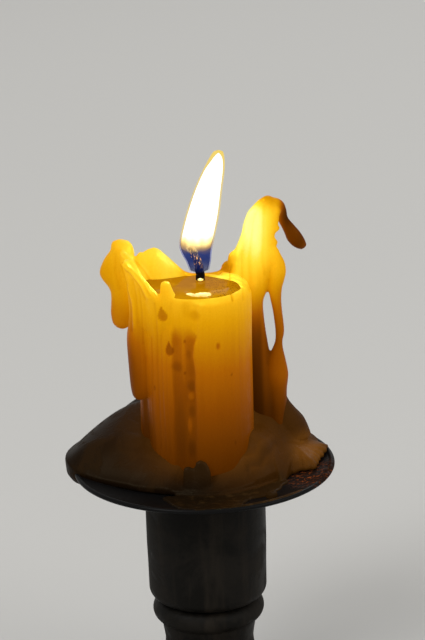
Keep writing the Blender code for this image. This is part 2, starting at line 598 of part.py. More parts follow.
wax_runoff = new_part("wax_runoff", joined(
    [mound_mesh(), chip_mesh(), lump(CONE, rounding=0.6),
     *(lump(leaf, rounding=0.5) for leaf in LEAVES)], "wax_runoff"), OLD_WAX)
candle_room = new_part("candle_room", joined(wax_forms(FIT_GAP + 0.25), "candle_room"))
fuse(candle_room, 0.6)
holder_room = turned("holder_room", [
    (0, COLLAR_TOP + FIT_GAP), (COLLAR_RADIUS + FIT_GAP, COLLAR_TOP + FIT_GAP),
    *[(r, pan_surface(r) + FIT_GAP + 0.2) for r in DISH_RADII[1:]],
    *arc(PAN_BEAD_MIDDLE, PAN_BEAD_RADIUS + 2.7 * FIT_GAP, 130, 0, 7),
    (PAN_RADIUS + 2.7 * FIT_GAP, PAN_FLOOR - 2), (0, PAN_FLOOR - 2)])
fuse(wax_runoff, WAX_VOXEL)
cut_away(wax_runoff, candle_room)
cut_away(wax_runoff, holder_room)
fuse(wax_runoff, WAX_VOXEL)
thin_out(wax_runoff, RUNOFF_TRIANGLES)
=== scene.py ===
"""A lit household candle, melted down and guttered, stuck by its own run-off in a small turned
metal holder.  Metres, +Z up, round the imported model's frame.  The front of the candle, where the
run-off lies open in a V, faces -Y."""
import math

import bmesh
import bpy
import numpy as np
from mathutils import Matrix, Vector
from mathutils.bvhtree import BVHTree


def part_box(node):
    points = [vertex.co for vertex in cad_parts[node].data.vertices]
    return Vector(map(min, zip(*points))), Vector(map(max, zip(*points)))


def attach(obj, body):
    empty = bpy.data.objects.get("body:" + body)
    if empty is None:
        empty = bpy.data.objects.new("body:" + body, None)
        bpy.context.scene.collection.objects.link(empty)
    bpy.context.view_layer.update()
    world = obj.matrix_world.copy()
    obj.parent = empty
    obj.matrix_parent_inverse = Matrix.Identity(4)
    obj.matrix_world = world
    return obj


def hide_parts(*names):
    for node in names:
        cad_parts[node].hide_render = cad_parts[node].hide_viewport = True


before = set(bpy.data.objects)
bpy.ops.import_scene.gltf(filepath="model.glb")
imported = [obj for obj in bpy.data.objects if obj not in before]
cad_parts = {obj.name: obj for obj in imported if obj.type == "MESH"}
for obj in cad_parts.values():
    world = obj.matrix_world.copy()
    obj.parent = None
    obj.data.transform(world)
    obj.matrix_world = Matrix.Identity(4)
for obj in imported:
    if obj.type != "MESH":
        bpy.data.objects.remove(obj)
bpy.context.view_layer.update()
MM = 0.001

# ---------------------------------------------------------------- the holder's cup and foot
# Two turned castings in a dull dark metal, brown with age and smeared by handling.  The straight
# cup stands on the foot's knop, with its spigot down in the neck.
CUP_LOW, CUP_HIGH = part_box("candle_cup")
FOOT_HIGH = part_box("foot")[1]
KNOP_TOP = FOOT_HIGH.z / MM
LATHE_HUB = 1.0          # the path the profile is swept on, taken off its radii
LATHE_STEPS = 144
SHARP_FROM = math.radians(35)


def plug(tree, socket, value):
    """Links a node's output to a socket, or sets the socket to a number or a colour."""
    if isinstance(value, bpy.types.NodeSocket):
        tree.links.new(value, socket)
    elif isinstance(value, tuple) and socket.type == "RGBA":
        socket.default_value = (*value, 1.0)
    else:
        socket.default_value = value


def node(tree, kind, **values):
    """A node of a kind, with its properties and its inputs set or linked by name."""
    made = tree.nodes.new(kind)
    for name, value in values.items():
        if hasattr(made, name):
            setattr(made, name, value)
        else:
            plug(tree, made.inputs[name.replace("_", " ")], value)
    return made


def reckoned(tree, operation, *values):
    """What a sum comes to: a Math node on numbers or on other nodes' outputs."""
    made = node(tree, "ShaderNodeMath", operation=operation)
    for socket, value in zip(made.inputs, values):
        plug(tree, socket, value)
    return made.outputs["Value"]


def group(name, kind, inputs, outputs):
    """A new node group: its tree, what comes in at its inputs, and its outputs to fill."""
    tree = bpy.data.node_groups.new(name, kind + "NodeTree")
    for way, sockets in (("INPUT", inputs), ("OUTPUT", outputs)):
        for socket, what in sockets.items():
            tree.interface.new_socket(socket, in_out=way, socket_type="NodeSocket" + what)
    return tree, node(tree, "NodeGroupInput").outputs, node(tree, "NodeGroupOutput").inputs


def swept(tree, curve, profile, material, done, **values):
    """Sweeps a profile along a curve, welds and smooths it, and puts it out in its material."""
    shape = node(tree, "GeometryNodeCurveToMesh", Curve=curve, Profile_Curve=profile, **values)
    shape = node(tree, "GeometryNodeMergeByDistance", Geometry=shape.outputs["Mesh"],
                 Distance=1e-6)
    for kind in ("SetShadeSmooth", "RealizeInstances"):
        shape = node(tree, "GeometryNode" + kind, Geometry=shape.outputs["Geometry"])
    shape = node(tree, "GeometryNodeSetMaterial", Geometry=shape.outputs["Geometry"],
                 Material=material)
    plug(tree, done, shape.outputs["Geometry"])


def lathe_tree():
    """Turns a profile, drawn as edges, once round the Z axis, and gives it its metal."""
    tree, given, done = group("turned on the lathe", "Geometry", {
        "Profile": "Geometry", "Hub": "Float", "Steps": "Int", "Metal": "Material"},
        {"Turned": "Geometry"})
    outline = node(tree, "GeometryNodeMeshToCurve", Mesh=given["Profile"])
    hub = node(tree, "GeometryNodeCurvePrimitiveCircle", Radius=given["Hub"],
               Resolution=given["Steps"])
    swept(tree, hub.outputs["Curve"], outline.outputs["Curve"], given["Metal"], done["Turned"])
    return tree


def settle(thing, name):
    """Replaces an object's live modifiers by the plain mesh that they make."""
    skin = thing.evaluated_get(bpy.context.evaluated_depsgraph_get())
    mesh = bpy.data.meshes.new_from_object(skin)
    mesh.name = name
    thing.modifiers.clear()
    thing.data = mesh
    thing.name = name
    return thing


def stood(name, held):
    """A new object at the origin that holds a mesh, a lamp or a lens."""
    made = bpy.data.objects.new(name, held)
    bpy.context.scene.collection.objects.link(made)
    return made


def drawn(name, points):
    """A new object whose mesh is a line of edges through points."""
    mesh = bpy.data.meshes.new(name)
    mesh.from_pydata(points, [(i, i + 1) for i in range(len(points) - 1)], [])
    return stood(name, mesh)


def shaped(thing, name, tree, **inputs):
    """Runs an object through a Geometry Nodes tree with its named inputs set, and settles it."""
    modifier = thing.modifiers.new(name, "NODES")
    modifier.node_group = tree
    for key, value in inputs.items():
        modifier[tree.interface.items_tree[key.replace("_", " ")].identifier] = value
    return settle(thing, name)


LATHE = lathe_tree()


def turned(name, profile, metal):
    """A profile of (radius, height), from the top of the axis down the outside, turned."""
    outline = drawn(name, [((r - LATHE_HUB) * MM, -z * MM, 0) for r, z in profile])
    made = shaped(outline, name, LATHE, Hub=LATHE_HUB * MM, Steps=LATHE_STEPS, Metal=metal)
    bm = bmesh.new()
    bm.from_mesh(made.data)
    bmesh.ops.recalc_face_normals(bm, faces=bm.faces)
    bm.to_mesh(made.data)
    bm.free()
    made.data.set_sharp_from_angle(angle=SHARP_FROM)
    return made


def arc(middle, radius, start, stop, count):
    """Points on an arc of a profile; angles in degrees, 0 outwards and 90 up."""
    return [(middle[0] + radius * math.cos(math.radians(start + (stop - start) * i / count)),
             middle[1] + radius * math.sin(math.radians(start + (stop - start) * i / count)))
            for i in range(count + 1)]


def noise(tree, vector, scale, detail, roughness, **values):
    """A noise of a size and a fineness."""
    return node(tree, "ShaderNodeTexNoise", Vector=vector, Scale=scale, Detail=detail,
                Roughness=roughness, **values).outputs["Fac"]


def grime_group():
    """Cloudy stains and fine grit, as masks, and both together as a height."""
    tree, given, done = group("grime", "Shader", {
        "Vector": "Vector", "Patch Size": "Float", "Grit Size": "Float", "Patch Edge": "Float"},
        {"Patches": "Float", "Grit": "Float", "Height": "Float"})
    cloud = noise(tree, given["Vector"], given["Patch Size"], 6.0, 0.62, Distortion=0.4)
    grit = noise(tree, given["Vector"], given["Grit Size"], 3.0, 0.7)
    edge = given["Patch Edge"]
    patches = node(tree, "ShaderNodeMapRange", interpolation_type="SMOOTHSTEP", Value=cloud,
                   From_Min=edge, From_Max=reckoned(tree, "ADD", edge, 0.16)).outputs["Result"]
    plug(tree, done["Patches"], patches)
    plug(tree, done["Grit"], grit)
    plug(tree, done["Height"], reckoned(tree, "MULTIPLY_ADD", grit, 0.35, patches))
    return tree


GRIME = grime_group()


def grime(tree, vector, patch_size, grit_size, patch_edge):
    """The grime group in a material, with its own sizes."""
    return node(tree, "ShaderNodeGroup", node_tree=GRIME, Vector=vector, Patch_Size=patch_size,
                Grit_Size=grit_size, Patch_Edge=patch_edge).outputs


def stretched(tree, vector, scale):
    """Object coordinates scaled by (x, y, z), which draws a pattern out where z is small."""
    return node(tree, "ShaderNodeMapping", Vector=vector, Scale=scale).outputs["Vector"]


def fed(tree, shader, **sources):
    """Sets or links a shader's sockets by name."""
    for name, value in sources.items():
        plug(tree, shader.inputs[name.replace("_", " ")], value)


def finish(name, **constants):
    """A material, with its Principled shader's own values, and its object coordinates."""
    made = bpy.data.materials.new(name)
    made.use_nodes = True
    tree = made.node_tree
    shader = tree.nodes["Principled BSDF"]
    fed(tree, shader, **constants)
    return made, tree, shader, node(tree, "ShaderNodeTexCoord").outputs["Object"]


def blended(tree, share, low, high, how="MIX"):
    """A colour between two, each a colour or another node's output."""
    made = node(tree, "ShaderNodeMix", data_type="RGBA", blend_type=how)
    for number, value in ((0, share), (6, low), (7, high)):
        plug(tree, made.inputs[number], value)
    return made.outputs[2]


def ramped(tree, value, stops):
    """A colour ramp through (position, colour) stops."""
    made = node(tree, "ShaderNodeValToRGB", Fac=value)
    bar = made.color_ramp.elements
    while len(bar) < len(stops):
        bar.new(0.5)
    for mark, (position, colour) in zip(bar, stops):
        mark.position = position
        mark.color = (*colour, 1.0)
    return made.outputs["Color"]


def ranged(tree, value, from_low, from_high, to_low=0.0, to_high=1.0):
    """A value carried from one range to another and held at its ends."""
    return node(tree, "ShaderNodeMapRange", Value=value, From_Min=from_low, From_Max=from_high,
                To_Min=to_low, To_Max=to_high).outputs["Result"]


def bumped(tree, shader, height, strength, depth):
    """Gives a shader a bump of a real depth in metres."""
    bump = node(tree, "ShaderNodeBump", Strength=strength, Distance=depth, Height=height)
    fed(tree, shader, Normal=bump.outputs["Normal"])


def aged_metal():
    """Dark cast metal with brown smears, a dusty bloom and a sandy skin."""
    made, tree, shader, place = finish("aged dark metal", Specular_IOR_Level=0.07)
    stain = grime(tree, place, 90.0, 2600.0, 0.44)
    runs = noise(tree, stretched(tree, place, (260.0, 260.0, 26.0)), 1.0, 4.0, 0.6)
    dark = blended(tree, stain["Patches"], (0.005, 0.0044, 0.0035), (0.010, 0.0084, 0.0066))
    fed(tree, shader,
        Base_Color=blended(tree, ranged(tree, runs, 0.48, 0.74, 0.0, 0.75), dark,
                           (0.020, 0.0155, 0.011)),
        Roughness=ranged(tree, stain["Height"], 0.1, 0.9, 0.42, 0.66),
        Metallic=ranged(tree, stain["Patches"], 0.0, 1.0, 0.14, 0.05))
    bumped(tree, shader, stain["Height"], 0.35, 0.00012)
    return made


METAL = aged_metal()
CUP_RADIUS, CUP_TOP = CUP_HIGH.x / MM, CUP_HIGH.z / MM
CUP_SHOULDER, CUP_FOOT = CUP_TOP - 1.7, KNOP_TOP + 0.3
CUP_BORE, BORE_FLOOR, LIP_ROUND, COLLAR_STEP = 11.3, CUP_TOP - 20, 0.3, 1.2
SHOULDER_ROUND, CUP_ROUND, WAIST, SPIGOT = 0.4, 2.6, 0.15, 4.0
cup_shape = turned("turned_cup", [
    (0, BORE_FLOOR), (CUP_BORE, BORE_FLOOR),
    *arc((CUP_BORE + LIP_ROUND, CUP_TOP - LIP_ROUND), LIP_ROUND, 180, 90, 3),
    *arc((CUP_RADIUS - COLLAR_STEP - LIP_ROUND, CUP_TOP - LIP_ROUND), LIP_ROUND, 90, 0, 3),
    (CUP_RADIUS - COLLAR_STEP, CUP_SHOULDER),
    *arc((CUP_RADIUS - SHOULDER_ROUND, CUP_SHOULDER - SHOULDER_ROUND), SHOULDER_ROUND, 90, 0, 4),
    (CUP_RADIUS, CUP_FOOT + 14), (CUP_RADIUS - WAIST, CUP_FOOT + 8),
    *arc((CUP_RADIUS - 0.2 - CUP_ROUND, CUP_FOOT + CUP_ROUND), CUP_ROUND, 0, -88, 12),
    (SPIGOT, CUP_FOOT), (SPIGOT, CUP_LOW.z / MM), (0, CUP_LOW.z / MM)], METAL)
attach(cup_shape, "root")
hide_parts("candle_cup")

FOOT_RADIUS, KNOP_RADIUS, NECK_RADIUS, KNOP_ROUND = FOOT_HIGH.x / MM, 12.6, 10.0, 2.6
NECK_HEIGHT, FLARE_FOOT, FLARE_STEPS = 17.0, 3.0, 24
SOCKET, SOCKET_DEPTH = 4.3, 7.0
FLARE = FOOT_RADIUS - 1 - NECK_RADIUS
quarter = [math.pi * i / (2 * FLARE_STEPS) for i in range(FLARE_STEPS + 1)]
foot_shape = turned("turned_foot", [
    (0, KNOP_TOP - SOCKET_DEPTH), (SOCKET, KNOP_TOP - SOCKET_DEPTH), (SOCKET, KNOP_TOP),
    *arc((KNOP_RADIUS - KNOP_ROUND, KNOP_TOP - KNOP_ROUND), KNOP_ROUND, 90, -62, 16),
    *arc((NECK_RADIUS + 1.9, KNOP_TOP - 5.6), 1.1, 118, 180, 5),
    (NECK_RADIUS + 0.5, KNOP_TOP - 6.6),
    *[(NECK_RADIUS + FLARE * (1 - math.cos(a)),
       NECK_HEIGHT - (NECK_HEIGHT - FLARE_FOOT) * math.sin(a)) for a in quarter],
    *arc((FOOT_RADIUS - 1, FLARE_FOOT - 1), 1.0, 70, 0, 6),
    *arc((FOOT_RADIUS - 0.5, 0.5), 0.5, 0, -90, 4), (0, 0)], METAL)
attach(foot_shape, "root")
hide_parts("foot")

# ---------------------------------------------------------------- the drip pan
# A dished disc of thin sheet steel with a rolled edge, dipped in near-black enamel.  At the
# front right old wax broke away and took enamel with it, and the steel there has rusted.
PAN_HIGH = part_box("drip_pan")[1]
RIM, PAN_RADIUS = PAN_HIGH.z / MM, PAN_HIGH.x / MM
PAN_HOLE, PAN_SHEET, PAN_DEPTH, BEAD = 12.6, 0.8, 2.8, 0.55
PAN_FLOOR = RIM - PAN_DEPTH
LIP = PAN_RADIUS - 2.2 * BEAD
RUST_PLACE, RUST_SIZE = (0.0255, -0.0078, RIM * MM), (108.0, 100.0, 60.0)


def pan_surface(radius):
    """Height of the dish's upper face at a radius."""
    share = max(0.0, (radius - PAN_HOLE) / (PAN_RADIUS - PAN_HOLE))
    return PAN_FLOOR + 0.93 * PAN_DEPTH * share ** 1.7


def patch_round(tree, place, centre, size):
    """1 at a centre, falling to 0 over a soft ellipsoid whose size is given as 1 / metres."""
    moved = node(tree, "ShaderNodeMapping", Vector=place, Scale=size,
                 Location=tuple(-c * s for c, s in zip(centre, size)))
    length = node(tree, "ShaderNodeVectorMath", operation="LENGTH")
    plug(tree, length.inputs[0], moved.outputs["Vector"])
    return ranged(tree, length.outputs["Value"], 0.45, 1.0, 1.0, 0.0)


def product(tree, first, second):
    """Two values multiplied, each a number or another node's output."""
    return reckoned(tree, "MULTIPLY", first, second)


def pan_enamel():
    """Near-black enamel, unevenly rubbed, with a rusty, speckled patch."""
    made, tree, shader, place = finish("chipped black enamel", Specular_IOR_Level=0.06)
    spread = grime(tree, place, 340.0, 3200.0, 0.40)
    speckle = grime(tree, place, 1100.0, 5200.0, 0.50)
    rusty = product(tree, patch_round(tree, place, RUST_PLACE, RUST_SIZE),
                    ranged(tree, spread["Height"], 0.25, 0.6, 0.35, 1.0))
    black = blended(tree, spread["Grit"], (0.0022, 0.0022, 0.0026), (0.007, 0.0066, 0.0062))
    rust = blended(tree, speckle["Patches"], (0.014, 0.0055, 0.0028), (0.230, 0.052, 0.008))
    fed(tree, shader, Base_Color=blended(tree, rusty, black, rust),
        Roughness=ranged(tree, rusty, 0.0, 1.0, 0.34, 0.9))
    bumped(tree, shader, product(tree, rusty, speckle["Height"]), 0.7, 0.00025)
    return made


dish = [PAN_HOLE + (LIP - PAN_HOLE) * i / 14 for i in range(15)]
pan_shape = turned("enamelled_pan", [
    *[(r, pan_surface(r)) for r in dish],
    *arc((PAN_RADIUS - BEAD, RIM - BEAD), BEAD, 130, -110, 12),
    *[(r, pan_surface(r) - PAN_SHEET) for r in reversed(dish)],
    (PAN_HOLE, pan_surface(PAN_HOLE))], pan_enamel())
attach(pan_shape, "root")
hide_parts("drip_pan")

# ---------------------------------------------------------------- the candle
# Paraffin wax dyed golden yellow, guttered to the left, where a spill lip and an ear stand.  A
# tall horn leans at the right, with a drip that hangs free.  Each run, wall and lump that set is
# skinned from rings, with heights in millimetres over the pool, and all are melted into one.
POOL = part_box("melt_pool")[1].z / MM
CANDLE_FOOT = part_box("candle")[0].z / MM - POOL
SHAFT_RADIUS = 11.0
RUN_STEP, FORM_STEP = 0.8, 0.6      # how far apart the rings of a form stand
RUN_END, WALL_END = 1.1, 0.9        # the length over which a form's ends round off


def through(stations, step):
    """Stations on a smooth curve through the given ones, about step apart."""
    ends = [stations[0], *stations, stations[-1]]
    found = []
    for before, start, stop, after in zip(ends, ends[1:], ends[2:], ends[3:]):
        count = max(1, round(math.dist(start[:3], stop[:3]) / step))
        for i in range(count):
            t = i / count
            found.append(tuple(
                0.5 * (2 * b + (c - a) * t + (2 * a - 5 * b + 4 * c - d) * t * t
                       + (3 * b - a - 3 * c + d) * t ** 3)
                for a, b, c, d in zip(before, start, stop, after)))
    return [*found, stations[-1]]


def joined(bm, loops, closed=False):
    """Faces between loops of points, with a face over each end, or joined end to end."""
    for low, high in zip(loops, [*loops[1:], loops[0]] if closed else loops[1:]):
        for i, vert in enumerate(low):
            after = (i + 1) % len(low)
            bm.faces.new((vert, low[after], high[after], high[i]))
    if not closed:
        bm.faces.new(loops[0])
        bm.faces.new(loops[-1])


def skin(bm, rings, rounding):
    """A closed skin over rings of points, which shrink to round ends over a length."""
    middles = [sum(ring, Vector()) / len(ring) for ring in rings]
    travelled = [0.0]
    for here, there in zip(middles, middles[1:]):
        travelled.append(travelled[-1] + (there - here).length)
    loops = []
    for ring, middle, gone in zip(rings, middles, travelled):
        near_end = min(gone, travelled[-1] - gone) / rounding
        size = math.sqrt(max(0.04, 1 - max(0.0, 1 - near_end) ** 2))
        loops.append([bm.verts.new((middle + (p - middle) * size) * MM) for p in ring])
    joined(bm, loops)


def circle(count):
    """The cosine and sine of each of a circle's points."""
    return [(math.cos(2 * math.pi * i / count), math.sin(2 * math.pi * i / count))
            for i in range(count)]


def squared(value, power):
    """A cosine or sine raised to a power under 1, which squares a round section up."""
    return math.copysign(abs(value) ** power, value)


def run(bm, stations, points=40, shoulder=0.6):
    """Wax that ran down the candle: (height, bearing, half arc, radius, half thickness)."""
    rings = []
    for height, bearing, half_arc, radius, thick in through(stations, RUN_STEP):
        ring = []
        for along, out in circle(points):
            angle = math.radians(bearing + half_arc * along)
            reach = radius + thick * squared(out, shoulder)
            ring.append(Vector((reach * math.cos(angle), reach * math.sin(angle),
                                POOL + height)))
        rings.append(ring)
    skin(bm, rings, RUN_END)


def lump(bm, stations, points=28, rounding=RUN_END):
    """A standing or hanging lump: (x, y, height, half width, half depth)."""
    skin(bm, [[Vector((x + wide * across, y + deep * back, POOL + height))
               for across, back in circle(points)]
              for x, y, height, wide, deep in through(stations, FORM_STEP)], rounding)


def wall(bm, stations, points=22):
    """A standing wall: (x, y, top, lean x, lean y, root, half thickness)."""
    path = through(stations, FORM_STEP)
    rings = []
    for i, (x, y, top, lean_x, lean_y, root, thick) in enumerate(path):
        before, after = path[max(0, i - 1)], path[min(len(path) - 1, i + 1)]
        crown = Vector((x, y, top))
        base = Vector((x - lean_x, y - lean_y, root))
        upright = (crown - base) / 2
        across = upright.cross(Vector((after[0] - before[0], after[1] - before[1], 0)))
        middle = (crown + base) / 2 + Vector((0, 0, POOL))
        rings.append([middle + upright * squared(up, 0.8) + across.normalized() * thick * out
                      for up, out in circle(points)])
    skin(bm, rings, WALL_END)


def formed(name, bm):
    """A new object of the mesh in the making, with its faces turned outwards."""
    bmesh.ops.recalc_face_normals(bm, faces=bm.faces)
    mesh = bpy.data.meshes.new(name)
    bm.to_mesh(mesh)
    bm.free()
    mesh.shade_smooth()
    return stood(name, mesh)


def melted(name, bm, voxel, softening):
    """Melts a mesh of overlapping forms into one skin, and lets its creases flow together."""
    made = formed(name, bm)
    remesh = made.modifiers.new("melt", "REMESH")
    remesh.mode = "VOXEL"
    remesh.voxel_size = voxel * MM
    remesh.use_smooth_shade = True
    soft = made.modifiers.new("soften", "SMOOTH")
    soft.factor = 0.5
    soft.iterations = softening
    return settle(made, name)


def points_of(mesh):
    """A mesh's points as rows of x, y, z in millimetres."""
    flat = np.empty(len(mesh.vertices) * 3)
    mesh.vertices.foreach_get("co", flat)
    return flat.reshape(-1, 3) / MM


def move_points(mesh, places):
    """Puts a mesh's points at rows of x, y, z in millimetres."""
    mesh.vertices.foreach_set("co", (places * MM).ravel())
    mesh.update()


def paint(mesh, **layers):
    """Keeps numbers for each point of a mesh, by name, for its material to read."""
    for name, values in layers.items():
        layer = mesh.attributes.new(name, "FLOAT", "POINT")
        layer.data.foreach_set("value", np.ascontiguousarray(values, dtype=np.float32))


def painted(tree, name):
    """The painted number of that name, in a material."""
    return node(tree, "ShaderNodeAttribute", attribute_name=name).outputs["Fac"]


def diffused(mesh, values, times):
    """Spreads a value for each point to its neighbours, as wax spreads light inside itself."""
    ends = np.empty(len(mesh.edges) * 2, dtype=np.int64)
    mesh.edges.foreach_get("vertices", ends)
    one, other = ends.reshape(-1, 2).T
    count = len(values)
    neighbours = np.bincount(one, minlength=count) + np.bincount(other, minlength=count)
    for _ in range(times):
        total = (np.bincount(one, values[other], minlength=count)
                 + np.bincount(other, values[one], minlength=count))
        values = 0.5 * values + 0.5 * total / np.maximum(neighbours, 1)
    return values


def beside(across, up, line):
    """How far points of a plane lie from a line through (across, up) places."""
    nearest = np.full(len(across), np.inf)
    for (x0, z0), (x1, z1) in zip(line, line[1:]):
        along = ((across - x0) * (x1 - x0) + (up - z0) * (z1 - z0)) / (
            (x1 - x0) ** 2 + (z1 - z0) ** 2)
        along = np.clip(along, 0, 1)
        nearest = np.minimum(nearest, np.hypot(across - x0 - along * (x1 - x0),
                                               up - z0 - along * (z1 - z0)))
    return nearest


def soft_balls(places, balls):
    """A factor for each point: 1 plus the amounts of soft (x, y, z, rx, ry, rz, amount)."""
    factor = np.ones(len(places))
    for x, y, z, rx, ry, rz, amount in balls:
        away = ((places - (x, y, z)) / (rx, ry, rz)) ** 2
        factor *= 1 + amount * np.exp(-away.sum(axis=1) ** 1.5)
    return factor


def step_between(low, high, values):
    """0 below low, 1 above high, and a smooth step between."""
    share = np.clip((values - low) / (high - low), 0, 1)
    return share * share * (3 - 2 * share)


# The shaft up to the pool, and the forms of wax on it, as run(), wall() and lump() take them.
SHAFT = [
    (0, 0, CANDLE_FOOT, 11.0, 11.0), (0, 0, -40, 11.0, 11.0), (0, 0, -12, 11.0, 11.0),
    (0, -0.9, -6, 10.9, 10.1), (0.1, -2.2, -2.0, 10.8, 8.9), (0.1, -2.8, 0.0, 10.7, 8.4),
]
COAT = [
    # thick wax on the front and right of the shaft, in two layers
    [(-0.4, -50, 42, 10.5, 1.7), (-6, -50, 42, 10.5, 1.7), (-20, -51, 43, 10.4, 1.5),
     (-42, -51, 43, 10.4, 1.4)],
    [(-0.8, -50, 42, 10.8, 0.9), (-5, -50, 42, 10.8, 1.0), (-9, -49.8, 41.8, 10.8, 1.1),
     (-11.2, -52.6, 44.6, 10.8, 1.1), (-13.4, -53.2, 45.3, 10.8, 1.1),
     (-15, -52.4, 44.4, 10.8, 1.1), (-17.8, -51.9, 43.9, 10.8, 1.1),
     (-20.1, -52.5, 44.5, 10.8, 1.1), (-25.7, -52, 43.9, 10.8, 1.1),
     (-37, -52.7, 44.8, 10.7, 1.1), (-42, -52.7, 44.8, 10.7, 1.1)],
    # the strip left of the bare groove
    [(-2, -144, 12, 10.6, 0.9), (-5.5, -143, 13.6, 10.7, 1.0), (-8, -139, 16.6, 10.8, 1.1),
     (-14, -139, 16, 10.8, 1.1), (-26, -139, 16.8, 10.8, 1.1), (-35, -139.4, 15.8, 10.8, 1.1),
     (-42, -138.6, 16, 10.7, 1.0)],
]
RUNS = [
    # the runs below the spill lip
    [(5, -164, 9, 15.0, 1.1), (2, -158, 14, 13.7, 1.4), (-2, -150, 21, 12.2, 1.6),
     (-8, -150, 18, 11.6, 1.5), (-16, -156, 16, 11.4, 1.3), (-28, -158, 16, 11.3, 1.2),
     (-42, -158, 16, 11.1, 1.1)],
    [(4, -170, 9, 15.2, 1.2), (-4, -166, 10, 14.2, 1.5), (-8, -165, 9, 14.3, 1.7),
     (-11.5, -165, 9, 14.5, 2.0), (-18, -165, 9, 14.4, 1.9), (-23, -165, 8, 14.2, 1.8),
     (-25.7, -165, 6, 14.1, 1.3)],
    # the left flank and the back
    [(-2, 182, 12, 12.2, 1.7), (-16, 178, 13, 12.0, 1.6), (-30, 177, 13, 12.1, 1.6),
     (-38, 177, 15, 12.1, 1.8)],
    [(-5, 158, 12, 11.6, 1.4), (-18, 154, 12, 11.4, 1.5), (-36, 152, 15, 11.6, 1.8)],
    [(-6, 130, 9, 10.9, 1.2), (-11, 127, 12, 11.0, 1.4), (-21, 124, 8, 11.3, 1.5),
     (-27, 126, 11, 11.3, 1.2), (-34, 127, 14, 11.5, 1.7)],
    [(-13, 102, 8, 10.9, 1.6), (-17, 101, 9, 11.4, 1.9), (-25, 99, 11, 11.3, 1.3),
     (-34, 99, 15, 11.5, 2.0)],
    [(-6, 70, 14, 10.6, 1.3), (-12, 71, 8, 11.0, 1.3), (-19, 66, 7, 11.3, 1.6),
     (-25, 67, 11, 11.3, 1.3), (-34, 67, 13, 11.4, 1.8)],
    [(-1, 36, 13, 10.8, 1.7), (-14, 34, 13, 12.0, 1.6), (-36, 35, 16, 12.2, 2.0)],
]
WALLS = [
    # the spill lip, which climbs from the front to the ear
    [(-7.6, -8.6, -0.9, 0.0, 0.0, -9, 0.8), (-9.1, -7.9, -0.7, 0.0, 0.0, -9, 0.8),
     (-10.9, -6.9, 1.3, -0.2, -0.2, -9, 0.9), (-12.4, -6.0, 3.7, -0.6, -0.3, -9, 1.0),
     (-13.7, -5.0, 6.2, -1.4, -0.5, -8, 1.2), (-15.2, -3.4, 7.6, -2.6, -0.4, -7, 1.4),
     (-16.4, -0.6, 8.0, -3.4, 0.0, -5, 1.4), (-16.0, 2.2, 8.2, -3.2, 0.2, -3, 1.6)],
    # the wall behind the pool, its foot in the liquid
    [(-13.9, 2.6, 4.9, -1.0, 0.9, -6, 1.2), (-12.8, 3.2, 6.3, -0.9, 1.4, -6, 1.4),
     (-12.0, 3.7, 6.1, -0.8, 1.6, -6, 1.5), (-11.0, 4.0, 6.6, -0.6, 2.0, -6, 1.7),
     (-9.6, 4.2, 7.0, -0.4, 2.3, -6, 1.8), (-8.6, 4.3, 6.6, -0.2, 2.4, -6, 1.8),
     (-6.9, 4.4, 5.1, 0.0, 2.0, -6, 1.8), (-4.6, 4.3, 2.8, 0.0, 1.2, -6, 1.6),
     (-2.9, 4.2, 1.3, 0.0, 0.4, -6, 1.4), (-0.5, 4.0, 0.8, 0.0, 0.0, -6, 1.2),
     (3.4, 4.2, 0.9, 0.0, 0.0, -6, 1.2), (6.2, 5.2, 1.4, 0.0, 0.2, -6, 1.4)],
    # the slope of set wax that runs down into the pool at the back and the right
    [(-1.6, 4.2, 0.5, 0.0, 0.0, -9, 0.9), (0.6, 3.7, 0.65, 0.0, 0.0, -9, 1.2),
     (2.6, 2.8, 0.85, 0.0, 0.0, -9, 1.3), (4.7, 1.4, 1.0, 0.0, 0.0, -9, 1.3),
     (7.0, -0.3, 1.0, 0.0, 0.0, -9, 1.3), (8.8, -2.1, 0.8, 0.0, 0.0, -9, 1.2),
     (9.9, -4.0, 0.4, 0.0, 0.0, -9, 0.9), (10.3, -5.2, 0.0, 0.0, 0.0, -9, 0.6)],
    # the slumped ridge behind it
    [(4.4, 3.6, 1.0, 0.0, 0.0, -9, 1.1), (6.6, 2.1, 1.3, 0.0, 0.0, -9, 1.4),
     (8.5, 0.7, 1.1, 0.0, 0.0, -9, 1.6), (9.7, -0.9, 0.85, 0.0, 0.0, -9, 1.5),
     (10.4, -2.8, 0.4, 0.0, 0.0, -9, 1.1), (10.8, -4.0, 0.0, 0.0, 0.0, -9, 0.6)],
]
